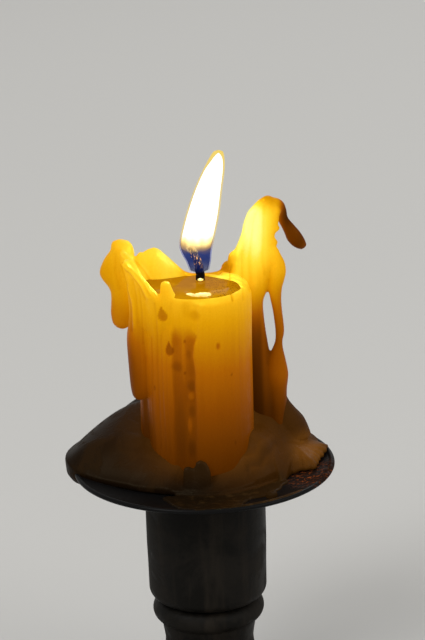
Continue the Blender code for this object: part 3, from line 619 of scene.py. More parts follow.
LUMPS = [
    # the ear
    [(-16.9, 2.6, 9.5, 1.9, 1.4), (-16.6, 2.6, 8.2, 2.3, 2.2), (-16.5, 2.6, 7.0, 2.6, 2.4),
     (-17.2, 2.6, 5.1, 3.3, 2.6), (-17.9, 2.6, 2.5, 3.7, 2.7), (-17.7, 2.4, 0.9, 3.6, 2.6),
     (-17.0, 2.2, -1.4, 2.7, 2.3), (-17.0, 2.0, -3.4, 2.3, 2.1), (-17.2, 1.8, -7.2, 2.3, 2.0),
     (-17.1, 1.8, -9.6, 2.0, 1.8), (-17.0, 1.8, -10.9, 1.2, 1.2)],
    # the horn and the curtain of wax below it
    [(15.8, 6.4, 17.4, 1.0, 0.9), (15.6, 6.3, 16.4, 1.9, 1.2), (14.8, 6.0, 14.1, 3.4, 1.5),
     (14.2, 5.6, 11.6, 3.9, 1.6), (13.4, 5.3, 8.8, 3.8, 1.7), (12.6, 5.0, 5.7, 4.4, 1.9),
     (12.1, 4.7, 3.0, 5.2, 2.1), (11.4, 4.5, 0.0, 5.0, 2.3), (11.2, 4.4, -3.5, 4.1, 2.3),
     (11.6, 4.4, -6.5, 2.6, 2.1), (12.0, 4.4, -12, 2.5, 1.8), (12.5, 4.6, -18, 2.8, 1.9),
     (13.2, 4.8, -26, 3.0, 2.2), (13.4, 5.0, -36, 3.6, 2.8)],
    # bumps down the horn's right edge
    [(17.3, 5.9, 15.2, 0.9, 0.8), (17.6, 5.8, 14.0, 1.1, 0.9), (17.4, 5.7, 12.6, 0.8, 0.9)],
    [(16.8, 5.5, 11.4, 0.8, 0.8), (17.2, 5.4, 10.1, 1.15, 1.0), (16.7, 5.3, 9.0, 0.8, 0.9)],
    [(16.3, 5.2, 8.3, 0.7, 0.8), (16.7, 5.1, 7.1, 1.1, 1.0), (16.6, 5.0, 6.0, 1.2, 1.0)],
    # the hanging drip, with a full drop at its end
    [(16.6, 4.6, 6.5, 0.9, 0.9), (16.9, 4.4, 4.4, 1.4, 1.3), (17.5, 4.2, 2.8, 1.6, 1.5),
     (17.6, 4.0, 0.7, 1.8, 1.6), (17.3, 3.9, -1.2, 1.7, 1.5), (16.9, 3.8, -3.4, 1.5, 1.3),
     (17.0, 3.8, -6.0, 1.2, 1.2), (17.3, 3.8, -8.5, 1.05, 1.1), (17.7, 3.8, -13, 1.0, 1.0),
     (17.4, 3.8, -15.6, 0.85, 0.85), (17.1, 3.9, -17.5, 1.3, 1.2), (16.9, 4.1, -20, 2.0, 1.7),
     (16.9, 4.3, -23, 2.5, 2.1), (16.9, 4.5, -25, 2.4, 2.1), (16.8, 4.9, -28, 2.2, 2.1),
     (16.4, 5.2, -36, 2.6, 2.6)],
    # the bent tip of the horn
    [(16.6, 6.5, 16.9, 1.3, 1.1), (17.8, 6.8, 15.5, 1.5, 1.1), (18.4, 7.2, 13.6, 1.5, 1.0),
     (18.9, 7.7, 11.8, 1.3, 0.9), (20.0, 8.3, 9.9, 1.5, 1.1), (21.1, 8.7, 8.0, 1.8, 1.4),
     (21.9, 9.0, 6.2, 1.95, 1.5), (22.6, 9.2, 4.9, 1.6, 1.3), (23.0, 9.4, 3.9, 1.0, 0.9)],
    # knobs at the horn's foot
    [(6.4, 5.2, -2.0, 1.5, 1.4), (6.2, 5.2, 0.6, 1.2, 1.1), (6.2, 5.2, 2.0, 0.95, 0.9),
     (6.5, 5.2, 3.1, 0.7, 0.7)],
    [(7.4, 4.4, 1.4, 0.8, 0.8), (7.5, 4.3, 3.2, 0.95, 0.8), (7.6, 4.6, 4.6, 0.8, 0.7),
     (8.2, 4.9, 5.6, 0.6, 0.6)],
    # flutes on the horn's face
    [(8.8, 2.9, -1.6, 0.7, 0.8), (8.9, 3.0, 0.8, 0.6, 0.7), (9.1, 3.3, 3.4, 0.5, 0.6)],
    [(10.4, 2.6, -2.4, 0.7, 0.8), (10.5, 2.8, 0.6, 0.65, 0.7), (10.8, 3.3, 4.6, 0.5, 0.6)],
    [(12.4, 2.7, -3.0, 0.8, 0.9), (12.6, 3.0, 1.4, 0.7, 0.8), (13.0, 3.6, 6.2, 0.6, 0.7)],
    # bright cords along the spill lip
    [(-15.7, -4.7, 7.3, 0.45, 0.5), (-14.6, -5.7, 5.4, 0.6, 0.55), (-13.2, -6.5, 3.2, 0.55, 0.5),
     (-11.8, -7.2, 1.2, 0.6, 0.55), (-10.6, -7.8, -0.6, 0.4, 0.4)],
    [(-14.2, -4.6, 6.8, 0.4, 0.4), (-13.0, -5.4, 4.7, 0.45, 0.45), (-11.8, -6.2, 2.6, 0.4, 0.4)],
    # the bright drop on the spill lip
    [(-15.6, -5.6, 7.0, 0.55, 0.6), (-15.5, -5.8, 6.1, 0.8, 0.8), (-15.2, -5.8, 5.1, 0.85, 0.8),
     (-15.0, -5.6, 4.2, 0.5, 0.5)],
]
# The stub of wax that stands at the pool's front left.
POST = [
    (-7.0, -8.2, -8.0, 1.8, 1.0), (-7.3, -8.6, -3.2, 1.8, 1.3), (-6.6, -8.8, -0.8, 1.85, 1.2),
    (-6.9, -8.6, 1.0, 1.4, 1.0), (-7.1, -8.4, 2.6, 1.05, 0.85), (-7.1, -8.4, 3.1, 1.0, 0.8),
]
# Where the shaft itself shows between strip and coat: (height, bearing from, bearing to).
GROOVE = [
    (-43, -123.6, -97.5), (-37, -123.6, -97.5), (-25.7, -122.2, -95.9), (-20.1, -123, -96.9),
    (-17.8, -123, -95.9), (-13.4, -123, -98.4), (-11.2, -123, -97), (-8.9, -122.6, -93),
    (-7.4, -121, -99),
]
# Marks on the shaft: (bearing, height, half width, half height, rise in millimetres).
BEADS = [
    (-102, -22.8, 0.75, 1.0, 0.34), (-104.6, -29.7, 0.55, 1.8, 0.30),
    (-110, -14.3, 0.4, 5.2, 0.18), (-117.5, -16.0, 1.2, 1.2, 0.30),
    (-101.5, -20.2, 1.0, 1.3, 0.32), (-101.5, -10.8, 1.0, 2.2, 0.2),
    (-129.8, -4.4, 0.8, 1.3, -0.22), (-126, -12.6, 0.85, 1.15, -0.30),
    (-126, -11.2, 0.45, 1.1, -0.2), (-71, -11.3, 0.4, 0.8, -0.15), (-95, -4.1, 1.0, 1.1, -0.12),
    (-93, -1.2, 0.8, 0.5, 0.2), (-87, -1.5, 0.6, 0.5, 0.18),
]
# Painted highlights, painted shade and small dark dots in the glow there: the same, with a share
# lighter.
PAINTED_GLOW_MARKS = [
    (-110, -14.3, 0.5, 5.4, 0.16), (-101.5, -10.8, 1.1, 2.4, -0.12),
    (-103.8, -13.3, 0.6, 1.3, -0.2), (-102, -16.5, 0.9, 2.2, -0.15),
    (-101.5, -20.2, 1.0, 1.4, -0.28), (-117.5, -16.0, 1.25, 1.2, -0.25),
    (-119, -10.0, 0.9, 2.6, -0.08), (-102, -22.8, 0.7, 0.95, 0.36), (-102, -26.4, 0.8, 1.5, -0.22),
    (-104.6, -29.7, 0.5, 1.8, 0.40), (-103.5, -35.0, 0.9, 2.2, -0.30),
    (-116, -31.0, 1.4, 7.0, -0.24), (-95, -4.1, 1.15, 1.2, -0.17), (-105, -2.6, 1.0, 2.3, -0.10),
    (-71, -11.2, 0.42, 0.8, -0.32), (-108, -10.2, 0.30, 0.34, -0.4),
    (-109, -17.5, 0.32, 0.34, -0.4), (-56, -18.3, 0.25, 0.35, -0.35),
    (-146.5, -21.9, 0.28, 0.6, -0.3), (-53, -34.3, 0.25, 0.5, -0.3), (-45, -9.5, 0.2, 8.0, -0.06),
    (-76, -1.2, 2.6, 0.7, 0.08), (-93, -1.1, 0.8, 0.5, 0.12), (-87, -1.4, 0.6, 0.5, 0.12),
]
# Drops that set, painted as shade in the glow: (bearing, height, half width, how far down, how far
# up to the point, shade).
SHADED_TEARS = [(-129.6, -4.4, 0.82, 1.35, 2.3, -0.34), (-126, -12.5, 0.82, 1.2, 2.3, -0.44)]
# Creases and ridges in the wax that faces the front, sunk or raised, with painted shade in the
# creases and a painted highlight on the ridges: ([(x, height), ...], half width, share darker).
CREASES = [
    ([(-15.9, 6.6), (-13.8, 4.6), (-12.0, 2.8), (-10.6, 0.2)], 0.22, 0.13),
    ([(-16.2, 5.8), (-14.2, 3.6), (-12.6, 1.6), (-11.6, -1.2)], 0.22, 0.13),
    ([(-16.4, 7.4), (-14.0, 5.3), (-12.2, 3.6), (-10.2, 0.8)], 0.3, -0.16),
    ([(-16.1, 6.2), (-14.0, 4.1), (-12.4, 2.4), (-11.0, -0.4)], 0.25, -0.16),
    ([(-15.3, 0.6), (-14.3, -2.6), (-14.2, -8.0)], 0.25, -0.10),
    ([(-16.7, 4.4), (-15.7, 1.2), (-14.9, -3.8), (-14.9, -9.0)], 0.25, 0.16),
    ([(-14.2, 3.0), (-13.6, -1.0), (-13.5, -7.0)], 0.2, 0.10),
    ([(-12.9, 1.2), (-12.5, -4.0), (-12.6, -12.0)], 0.2, 0.10),
    ([(-17.9, 6.8), (-18.2, 3.0), (-17.4, -1.0)], 0.3, 0.08),
    ([(12.9, 13.8), (12.0, 9.0), (11.4, 4.0), (11.5, -1.0)], 0.35, 0.10),
    ([(14.9, 15.2), (14.6, 10.0), (14.2, 4.0), (14.6, 0.5)], 0.35, 0.10),
    ([(9.9, 5.8), (9.7, 1.5), (9.6, -2.0)], 0.22, 0.12),
    ([(7.6, 2.6), (7.0, 0.4), (7.4, -1.5)], 0.2, 0.30),
    ([(-9.6, -1.6), (-9.3, -5.0), (-9.4, -16), (-9.3, -36)], 0.22, 0.10),
    ([(-10.6, -10), (-10.9, -24), (-10.6, -38)], 0.2, 0.12),
    ([(-8.4, -9), (-8.6, -22), (-8.2, -36)], 0.18, 0.07),
    ([(-7.5, -12), (-7.6, -26), (-7.3, -37)], 0.16, 0.06),
]
# Where more or less light gets to than the wax's thickness says: soft (x, y, height, three
# half sizes, share more or less).
LIGHT = [
    (13.2, 4.4, 9.0, 2.6, 4.5, 7.5, 0.5), (21.5, 8.7, 7.4, 3.8, 4.0, 6.2, -0.86),
    (19.8, 7.4, 13.4, 2.1, 3.0, 5.0, -0.9), (15.2, 6.0, 18.0, 3.8, 3.0, 3.2, -0.5),
    (23.2, 9.2, 5.0, 2.0, 3.0, 3.0, -0.5), (-13.0, -3.0, -34, 3.0, 4.0, 11, -0.62),
    (-12.4, -5.6, 6.0, 5.0, 3.0, 5.0, 0.06), (6.6, 4.8, 2.6, 2.4, 2.4, 3.4, -0.5),
    (-17.2, 1.8, -8.0, 3.0, 3.0, 5.0, -0.25), (12.6, 5.6, -24, 4.4, 4.6, 20, -0.72),
    (17.2, 4.1, -13, 2.6, 2.8, 15, -0.5), (-15.2, -4.0, -18, 2.6, 3.4, 10, -0.55),
    (15.4, 5.0, -34, 5.0, 4.0, 8, -0.78), (0.5, 5.2, 0.5, 7.0, 3.0, 3.0, -0.62),
]
# Fine ribs round the shaft: (height, how many, where they start, how they lean).
RIBS = [(0.05, 37, 0.0, 0.05), (0.03, 61, 0.4, 0.03)]
GROOVE_DEPTH, CREASE_DEPTH = 0.28, 1.2
# The flame's light, as three places in it, and how it fades: in wax and in air, in metres.
FLAME_PARTS = [(0.2, 0.0, 9.0), (1.8, 0.1, 17.0), (4.0, 0.2, 24.0)]
FADE_IN_WAX, FADE_WITHIN, FADE_OUTSIDE = 0.045, 0.030, 0.012
RAY_START, RAY_STEP, SHADOW_DEPTH, MOST_WALLS = 0.00006, 0.00002, 0.0006, 8
LIGHT_WITHIN, LIGHT_FACING = 1.42, 1.3


def around(bearing, at):
    """How far round the shaft each point lies from a bearing, in millimetres."""
    return np.radians((bearing - at + 180) % 360 - 180) * SHAFT_RADIUS


def spots(bearing, height, marks):
    """The sum of round marks: (bearing, height, half width, half height, amount)."""
    total = np.zeros(len(bearing))
    for at, level, wide, tall, amount in marks:
        aside, above = around(bearing, at) / wide, (height - level) / tall
        total += amount * np.exp(-(aside ** 2 + above ** 2) ** 2)
    return total


def teardrops(bearing, height, marks):
    """Round below and pointed above, with a clear edge."""
    total = np.zeros(len(bearing))
    for at, level, wide, down, up, amount in marks:
        above = height - level
        narrowed = np.clip(1 - above / up, 0.02, 1)
        out = np.hypot(around(bearing, at) / wide / narrowed, np.minimum(above, 0) / down)
        total += amount * step_between(1.15, 0.85, out) * step_between(up, up - 0.3, above)
    return total


def light_reaching(mesh, heart):
    """What one part of the flame gives each point: through the wax, and straight on to it."""
    tree = BVHTree.FromPolygons([v.co for v in mesh.vertices],
                                [p.vertices for p in mesh.polygons])
    heart = (Vector(heart) + Vector((0, 0, POOL))) * MM
    within, facing = np.zeros(len(mesh.vertices)), np.zeros(len(mesh.vertices))
    for i, vert in enumerate(mesh.vertices):
        ray = heart - vert.co
        away = left = ray.length
        ray.normalize()
        start = vert.co - vert.normal * RAY_START
        inside, depth = True, 0.0
        for _ in range(MOST_WALLS):
            gone = tree.ray_cast(start, ray, left)[3]
            if gone is None:
                break
            if inside:
                depth += gone
            inside = not inside
            start = start + ray * (gone + RAY_STEP)
            left -= gone
        within[i] = math.exp(-depth / FADE_IN_WAX) / (1 + (away / FADE_WITHIN) ** 2)
        if depth < SHADOW_DEPTH:
            facing[i] = max(0.0, ray.dot(vert.normal)) / (1 + (away / FADE_OUTSIDE) ** 2)
    return within, facing


bm = bmesh.new()
lump(bm, SHAFT, points=96, rounding=0.4)
for stations in COAT:
    run(bm, stations, shoulder=0.32)
for stations in RUNS:
    run(bm, stations)
for stations in WALLS:
    wall(bm, stations)
for stations in LUMPS:
    lump(bm, stations)
lump(bm, POST, rounding=0.4)
candle = melted("melted_candle", bm, voxel=0.33, softening=2)

# Marks, creases and fine ribs are pushed into the skin.
places = points_of(candle.data)
places[:, 2] -= POOL
x, y, z = places.T
radius = np.hypot(x, y)
bearing = np.degrees(np.arctan2(y, x))
near_shaft = step_between(14.5, 13.4, radius)
on_shaft = step_between(9.5, 10.5, radius) * near_shaft * step_between(-0.4, -1.4, z)
levels, groove_starts, groove_stops = zip(*GROOVE)
groove = (step_between(-1.0, 1.4, bearing - np.interp(z, levels, groove_starts))
          * step_between(-1.0, 1.4, np.interp(z, levels, groove_stops) - bearing)
          * step_between(-6.2, -10.5, z) * step_between(13.0, 12.4, radius))
# Creases are sunk and painted darker; ridges, with a share below 0, are raised and painted
# lighter.
creases_and_painted_shade = sum(darker * np.exp(-(beside(x, z, line) / width) ** 2)
              for line, width, darker in CREASES) * ((y < 5.0) & (z > -41))
ribs = sum(high * np.sin(np.radians(bearing) * count + start + lean * z)
           for high, count, start, lean in RIBS)
ribs *= 0.15 + 0.85 * step_between(-94, -125, bearing) + 0.85 * step_between(0, 30, bearing)
rise = ((spots(bearing, z, BEADS) + ribs - GROOVE_DEPTH * groove) * on_shaft
        - CREASE_DEPTH * creases_and_painted_shade * (radius > 6))
places[:, 0] += rise * x / np.maximum(radius, 1)
places[:, 1] += rise * y / np.maximum(radius, 1)
places[:, 2] += POOL
move_points(candle.data, places)

# The glow: light that came through the wax and light that fell on it, less down the shaft, on
# the shaft's turned-away right flank, in the creases and groove, and on the marks.
reached = [light_reaching(candle.data, part) for part in FLAME_PARTS]
within, facing = (sum(light / len(FLAME_PARTS) for light in kind) for kind in zip(*reached))
places[:, 2] -= POOL
x, y, z = places.T
low_down = np.exp(-(np.maximum(0, -21 - z) / 33.0) ** 2)
right_flank = (step_between(-11, -6, bearing) * step_between(24, 14, bearing) * near_shaft
               * step_between(-4, -16, z))
glow = (LIGHT_WITHIN * diffused(candle.data, within, 6)
        + LIGHT_FACING * diffused(candle.data, facing, 30))
glow *= low_down * (1 - 0.5 * right_flank) * soft_balls(places, LIGHT) * (1 - creases_and_painted_shade)
glow *= (1 - (0.12 + 0.16 * step_between(-30, -22, z)) * groove) * (
    1 + (spots(bearing, z, PAINTED_GLOW_MARKS) + teardrops(bearing, z, SHADED_TEARS)) * on_shaft)
paint(candle.data, glow=glow)


def dimmed(tree, colour, share):
    """A share of a colour."""
    return blended(tree, 1.0, colour, (share, share, share), "MULTIPLY")


def candle_wax():
    """Golden wax, lit from within near the flame and amber where little light comes through."""
    made, tree, shader, place = finish(
        "golden candle wax", Specular_IOR_Level=0.045, Specular_Tint=(1.0, 0.72, 0.30),
        Emission_Strength=1.0, Subsurface_Weight=0.12, Subsurface_Scale=0.0015,
        Subsurface_Radius=(1.0, 0.45, 0.12))
    cloud = grime(tree, place, 420.0, 2400.0, 0.42)
    grain = noise(tree, stretched(tree, place, (800.0, 800.0, 50.0)), 1.0, 4.0, 0.6)
    uneven = product(tree, ranged(tree, grain, 0.25, 0.75, 0.96, 1.04),
                     ranged(tree, cloud["Grit"], 0.3, 0.7, 0.97, 1.03))
    level = ranged(tree, product(tree, painted(tree, "glow"), uneven), 0.0, 2.0)
    colour = ramped(tree, level, [
        (0.0, (0.006, 0.0016, 0.0002)), (0.05, (0.10, 0.024, 0.0003)),
        (0.12, (0.235, 0.057, 0.0004)), (0.20, (0.40, 0.112, 0.0008)),
        (0.28, (0.56, 0.215, 0.0010)), (0.36, (0.72, 0.320, 0.0014)),
        (0.46, (0.92, 0.460, 0.008)), (0.56, (1.0, 0.600, 0.020)), (0.70, (1.0, 0.740, 0.045)),
        (0.85, (1.0, 0.900, 0.160)), (1.0, (1.0, 0.960, 0.290))])
    fed(tree, shader, Base_Color=dimmed(tree, colour, 0.5),
        Emission_Color=dimmed(tree, colour, 0.58),
        Roughness=ranged(tree, cloud["Patches"], 0.0, 1.0, 0.30, 0.46))
    bumped(tree, shader, grain, 0.12, 0.00012)
    return made


candle.data.materials.append(candle_wax())
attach(candle, "root")
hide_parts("candle")

# ---------------------------------------------------------------- the molten pool
# Clear liquid wax that brims over the front of the candle's burnt-down top, where it bulges
# before it would run.  Bits of burnt wick float in it at the right.
SHORE = [
    (-11.6, 1.2), (-9.8, 3.4), (-6.5, 4.0), (-3.0, 4.2), (0.5, 4.1), (3.2, 3.6), (5.6, 2.6),
    (8.0, 0.9), (9.6, -1.0), (10.2, -2.9), (9.8, -4.7), (8.8, -6.5), (7.1, -8.3), (4.6, -10.0),
    (0.8, -10.9), (-2.6, -10.7), (-5.2, -9.75), (-8.0, -8.1), (-10.2, -6.0), (-11.5, -2.4),
]
# How far the liquid has curved down at the front: (share of the way out, drop).
BULGE = [(0.1, 0), (0.3, 0), (0.45, 0.0), (0.55, 0.03), (0.65, 0.07), (0.75, 0.16), (0.83, 0.28),
         (0.90, 0.44), (0.95, 0.57), (0.98, 0.67), (1.0, 0.8), (0.99, 1.6)]
POOL_MIDDLE, POOL_LEVEL, SHORE_STEP, MOST_LEVEL_DROP = Vector((0.2, -3.6)), 0.45, 0.4, 0.6


def shore_line(step):
    """The pool's smooth closed outline."""
    padded = [(x, y, 0.0) for x, y in [*SHORE[-2:], *SHORE, *SHORE[:2]]]
    path = through(padded, step)
    start = min(range(len(path)), key=lambda i: math.dist(path[i], padded[2]))
    stop = max(range(len(path)), key=lambda i: -math.dist(path[i], padded[-2]) + i * 1e-9)
    return [Vector((x, y)) for x, y, _ in path[start:stop]]


def sunk(out, drop):
    """How far the liquid has curved down in a direction from its middle."""
    ahead, aside = -out.y / out.length, out.x / out.length
    front = step_between(-0.3, 0.1, ahead) if out.x > 0 else step_between(0.15, 0.55, ahead)
    return max(drop * front * (1 + 0.5 * step_between(0.75, 1.0, aside)),
               drop - MOST_LEVEL_DROP)


def molten_wax():
    """Liquid wax: amber, wet and glossy, with a painted glow and fine dark specks at the right."""
    made, tree, shader, place = finish("molten wax", Specular_IOR_Level=0.015,
                                       Specular_Tint=(1.0, 0.8, 0.4), Emission_Strength=1.0)
    cloud = grime(tree, place, 240.0, 3800.0, 0.5)
    axes = node(tree, "ShaderNodeSeparateXYZ", Vector=place).outputs
    bits = node(tree, "ShaderNodeTexVoronoi", Vector=place, Scale=2300.0, Randomness=1.0)
    specks = product(tree, ranged(tree, axes["X"], 0.0006, 0.003),
                     ranged(tree, bits.outputs["Distance"], 0.22, 0.36, 0.9, 0.0))
    # Painted shade: the amber is darker at the back of the pool and lighter towards the front.
    amber = blended(tree, ranged(tree, axes["Y"], -0.004, -0.0100), (0.50, 0.19, 0.0005),
                    (0.66, 0.285, 0.001))
    amber = blended(tree, cloud["Patches"], amber, (0.58, 0.235, 0.001))
    colour = blended(tree, specks, amber, (0.20, 0.065, 0.001))
    # The colour is also put out as emission, a painted glow of the flame's light in the liquid.
    fed(tree, shader, Base_Color=dimmed(tree, colour, 0.35),
        Emission_Color=dimmed(tree, colour, 0.55),
        Roughness=ranged(tree, cloud["Patches"], 0.0, 1.0, 0.04, 0.07))
    return made


bm = bmesh.new()
joined(bm, [[bm.verts.new((POOL_MIDDLE + out * share).to_3d() * MM
                          + Vector((0, 0, POOL + POOL_LEVEL - sunk(out, drop))) * MM)
             for out in (p - POOL_MIDDLE for p in shore_line(SHORE_STEP))]
            for share, drop in BULGE])
pool = formed("molten_pool", bm)
pool.data.materials.append(molten_wax())
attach(pool, "root")
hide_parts("melt_pool")

# ---------------------------------------------------------------- the wick
# Three strands of cotton plaited round each other, burnt black above the wax.  Their fibres
# still glow where they stand in the flame.
WICK_PATH = [
    (0, 0, CANDLE_FOOT + 0.5), (0, 0, -30), (0, 0, -12), (0.3, -0.1, -5), (0.5, -0.1, 0),
    (0.45, -0.1, 1.6), (0.3, 0, 3.0), (0.05, 0, 4.4), (-0.55, 0, 6.0), (-1.35, 0, 7.6),
    (-1.7, 0, 8.2),
]
WICK_STEP, TURNS, STRANDS = 0.5, 15.0, 3


def wick_strand_tree():
    """Winds a strand round a path: it is the path moved aside by an angle that turns."""
    tree, given, done = group("plaited wick", "Geometry", {
        "Path": "Geometry", "Offset": "Float", "Strand Radius": "Float", "Turns": "Float",
        "Start": "Float", "Taper From": "Float", "Tip Size": "Float", "Cotton": "Material"},
        {"Strand": "Geometry"})
    path = node(tree, "GeometryNodeMeshToCurve", Mesh=given["Path"]).outputs["Curve"]
    along = node(tree, "GeometryNodeSplineParameter").outputs["Factor"]
    taper = ranged(tree, along, given["Taper From"], 1.0, 1.0, given["Tip Size"])
    angle = reckoned(tree, "MULTIPLY_ADD", along, given["Turns"], given["Start"])
    aside = node(tree, "ShaderNodeCombineXYZ", X=reckoned(tree, "COSINE", angle),
                 Y=reckoned(tree, "SINE", angle)).outputs["Vector"]
    offset = node(tree, "ShaderNodeVectorMath", operation="SCALE", Vector=aside,
                  Scale=product(tree, given["Offset"], taper)).outputs["Vector"]
    wound = node(tree, "GeometryNodeSetPosition", Geometry=path, Offset=offset)
    slim = node(tree, "GeometryNodeSetCurveRadius", Curve=wound.outputs["Geometry"],
                Radius=taper)
    ring = node(tree, "GeometryNodeCurvePrimitiveCircle", Resolution=8,
                Radius=given["Strand Radius"])
    swept(tree, slim.outputs["Curve"], ring.outputs["Curve"], given["Cotton"], done["Strand"],
          Fill_Caps=True)
    return tree


def heights(tree, place, low, high):
    """0 to 1 between two heights in millimetres over the pool."""
    level = node(tree, "ShaderNodeSeparateXYZ", Vector=place).outputs["Z"]
    return ranged(tree, level, (POOL + low) * MM, (POOL + high) * MM)


def charred_cotton():
    """Black charred fibres, with gold sparks along them higher up."""
    made, tree, shader, place = finish("charred cotton", Specular_IOR_Level=0.01,
                                       Emission_Strength=1.0)
    char = grime(tree, stretched(tree, place, (1.0, 1.0, 0.35)), 2600.0, 7000.0, 0.5)
    spark = product(tree, heights(tree, place, 3.1, 5.2),
                    product(tree, ranged(tree, char["Patches"], 0.35, 0.6),
                            ranged(tree, char["Grit"], 0.42, 0.62)))
    fed(tree, shader,
        Base_Color=blended(tree, char["Grit"], (0.003, 0.0025, 0.003), (0.014, 0.010, 0.009)),
        Emission_Color=blended(tree, spark, (0.0, 0.0, 0.0), (2.6, 1.35, 0.22)),
        Roughness=ranged(tree, char["Grit"], 0.3, 0.7, 0.6, 0.95))
    bumped(tree, shader, char["Height"], 0.6, 0.00012)
    return made


COTTON = charred_cotton()
PLAIT = wick_strand_tree()
wick_line = [Vector((x, y, POOL + z)) * MM for x, y, z in through(WICK_PATH, WICK_STEP)]
strands = [shaped(drawn("strand", wick_line), "wick_strand_%d" % (number + 1), PLAIT,
                  Offset=0.50 * MM, Strand_Radius=0.60 * MM, Taper_From=0.9, Tip_Size=0.6,
                  Turns=2 * math.pi * TURNS, Start=2 * math.pi * number / STRANDS, Cotton=COTTON)
           for number in range(STRANDS)]
for strand in strands:
    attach(strand, "root")
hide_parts("wick")


def bead_with_painted_highlight():
    """Liquid wax with a painted highlight of the flame on its upper half, in colour and glow."""
    made, tree, shader, place = finish("bead with a painted flame highlight", Roughness=0.1,
                                       Emission_Strength=1.0)
    high = heights(tree, place, 0.4, 0.75)
    fed(tree, shader, Base_Color=blended(tree, high, (0.25, 0.10, 0.002), (0.5, 0.4, 0.1)),
        Emission_Color=blended(tree, high, (0.25, 0.10, 0.002), (1.0, 0.85, 0.25)))
    return made


# A drop of liquid wax that is drawn up at the wick's foot, with a painted highlight of the flame.
bm = bmesh.new()
lump(bm, [(0.5, -1.0, 0.45, 0.4, 0.3), (0.5, -1.02, 0.65, 0.62, 0.42),
          (0.5, -1.02, 0.95, 0.64, 0.42), (0.5, -1.0, 1.15, 0.4, 0.3)], rounding=0.3)
bead = formed("wet_bead", bm)
bead.data.materials.append(bead_with_painted_highlight())
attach(bead, "root")

# ---------------------------------------------------------------- the flame
# Burning gas, drawn to the right: a white body in a thin yellow skin, over a blue root whose
# inside is dark and shows the wick.  Each is a skin of clear, glowing gas round the wick's tip.
FLAME_FOOT, FLAME_TIP, TIP_FROM, THINNEST = 2.0, 29.6, 25, 0.25
# The flame's rings as lump() takes them, the tip first.
FLAME_FORM = [
    (5.25, 0.2, 29.6, 0.9, 0.8), (4.9, 0.2, 28.0, 1.6, 1.4), (4.05, 0.2, 25.0, 2.4, 2.15),
    (2.7, 0.1, 20.6, 3.1, 2.75), (1.4, 0.1, 15.4, 3.65, 3.25), (0.25, 0.0, 10.8, 3.8, 3.4),
    (-0.2, 0.0, 8.6, 3.75, 3.4), (-0.2, 0.0, 6.8, 3.35, 3.1), (0.2, 0.0, 4.8, 2.75, 2.6),
    (0.3, -0.1, 2.9, 2.25, 2.1), (0.3, -0.1, 2.1, 1.95, 1.85),
]


def flame_gas(name, colours, clearness, low, high, strength, sides=(1.0, 1.0)):
    """Glowing gas: a colour and a clearness that change with the height over the pool.  The
    near side and the far side of a skin can let different shares of light through."""
    made, tree, shader, place = finish(name, Specular_IOR_Level=0.0, Roughness=1.0,
                                       Base_Color=(0.0, 0.0, 0.0), Emission_Strength=strength)
    height = node(tree, "ShaderNodeSeparateXYZ", Vector=place).outputs["Z"]
    lick = ranged(tree, noise(tree, place, 340.0, 2.0, 0.5), 0.3, 0.7, -1.0, 1.0)
    level = ranged(tree, reckoned(tree, "MULTIPLY_ADD", lick, 0.0005, height),
                   (POOL + low) * MM, (POOL + high) * MM)
    thickness = ramped(tree, level, [(at, (value,) * 3) for at, value in clearness])
    behind = node(tree, "ShaderNodeNewGeometry").outputs["Backfacing"]
    fed(tree, shader, Emission_Color=ramped(tree, level, colours),
        Alpha=product(tree, thickness, ranged(tree, behind, 0.0, 1.0, *sides)))
    return made


def flame_skin(name, inset, low, high, gas, rounding=1.2):
    """The flame's form between two heights, drawn in by inset millimetres."""
    bm = bmesh.new()
    kept = [(x, y, h - 1.6 * inset * (h > TIP_FROM), max(THINNEST, wide - inset),
             max(THINNEST, deep - inset)) for x, y, h, wide, deep in FLAME_FORM if low < h < high]
    lump(bm, kept, points=48, rounding=rounding)
    made = formed(name, bm)
    made.data.materials.append(gas)
    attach(made, "root")
    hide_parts("flame")
    return made


flame_skin("flame_edge", 0.0, FLAME_FOOT, 40, flame_gas(
    "flame edge", [(0.0, (0.01, 0.02, 0.12)), (0.08, (0.03, 0.06, 0.36)),
                   (0.18, (0.07, 0.11, 0.48)), (0.25, (0.60, 0.40, 0.22)),
                   (0.32, (1.0, 0.72, 0.14)), (1.0, (1.0, 0.70, 0.06))],
    [(0.0, 0.10), (0.07, 0.30), (0.17, 0.36), (0.26, 0.35), (0.7, 0.32), (1.0, 0.55)],
    2.1, FLAME_TIP, 1.0, (0.6, 1.3)), 0.5)
flame_skin("flame_root", 0.3, FLAME_FOOT, 12, flame_gas(
    "flame root", [(0.0, (0.003, 0.006, 0.030)), (0.5, (0.006, 0.016, 0.085)),
                   (0.75, (0.040, 0.036, 0.06)), (1.0, (0.42, 0.24, 0.07))],
    [(0.0, 0.35), (0.3, 0.52), (0.7, 0.50), (0.85, 0.45), (1.0, 0.0)], 2.1, 10.0, 1.0,
    (0.25, 1.85)), 0.5)
body_gas = flame_gas(
    "flame body", [(0.0, (0.26, 0.13, 0.03)), (0.06, (0.60, 0.36, 0.09)),
                   (0.12, (1.0, 0.80, 0.32)), (0.19, (1.0, 1.0, 0.90)), (1.0, (1.0, 1.0, 1.0))],
    [(0.0, 0.0), (0.05, 0.35), (0.11, 0.85), (0.16, 1.0), (1.0, 1.0)], 7.2, FLAME_TIP, 2.0)
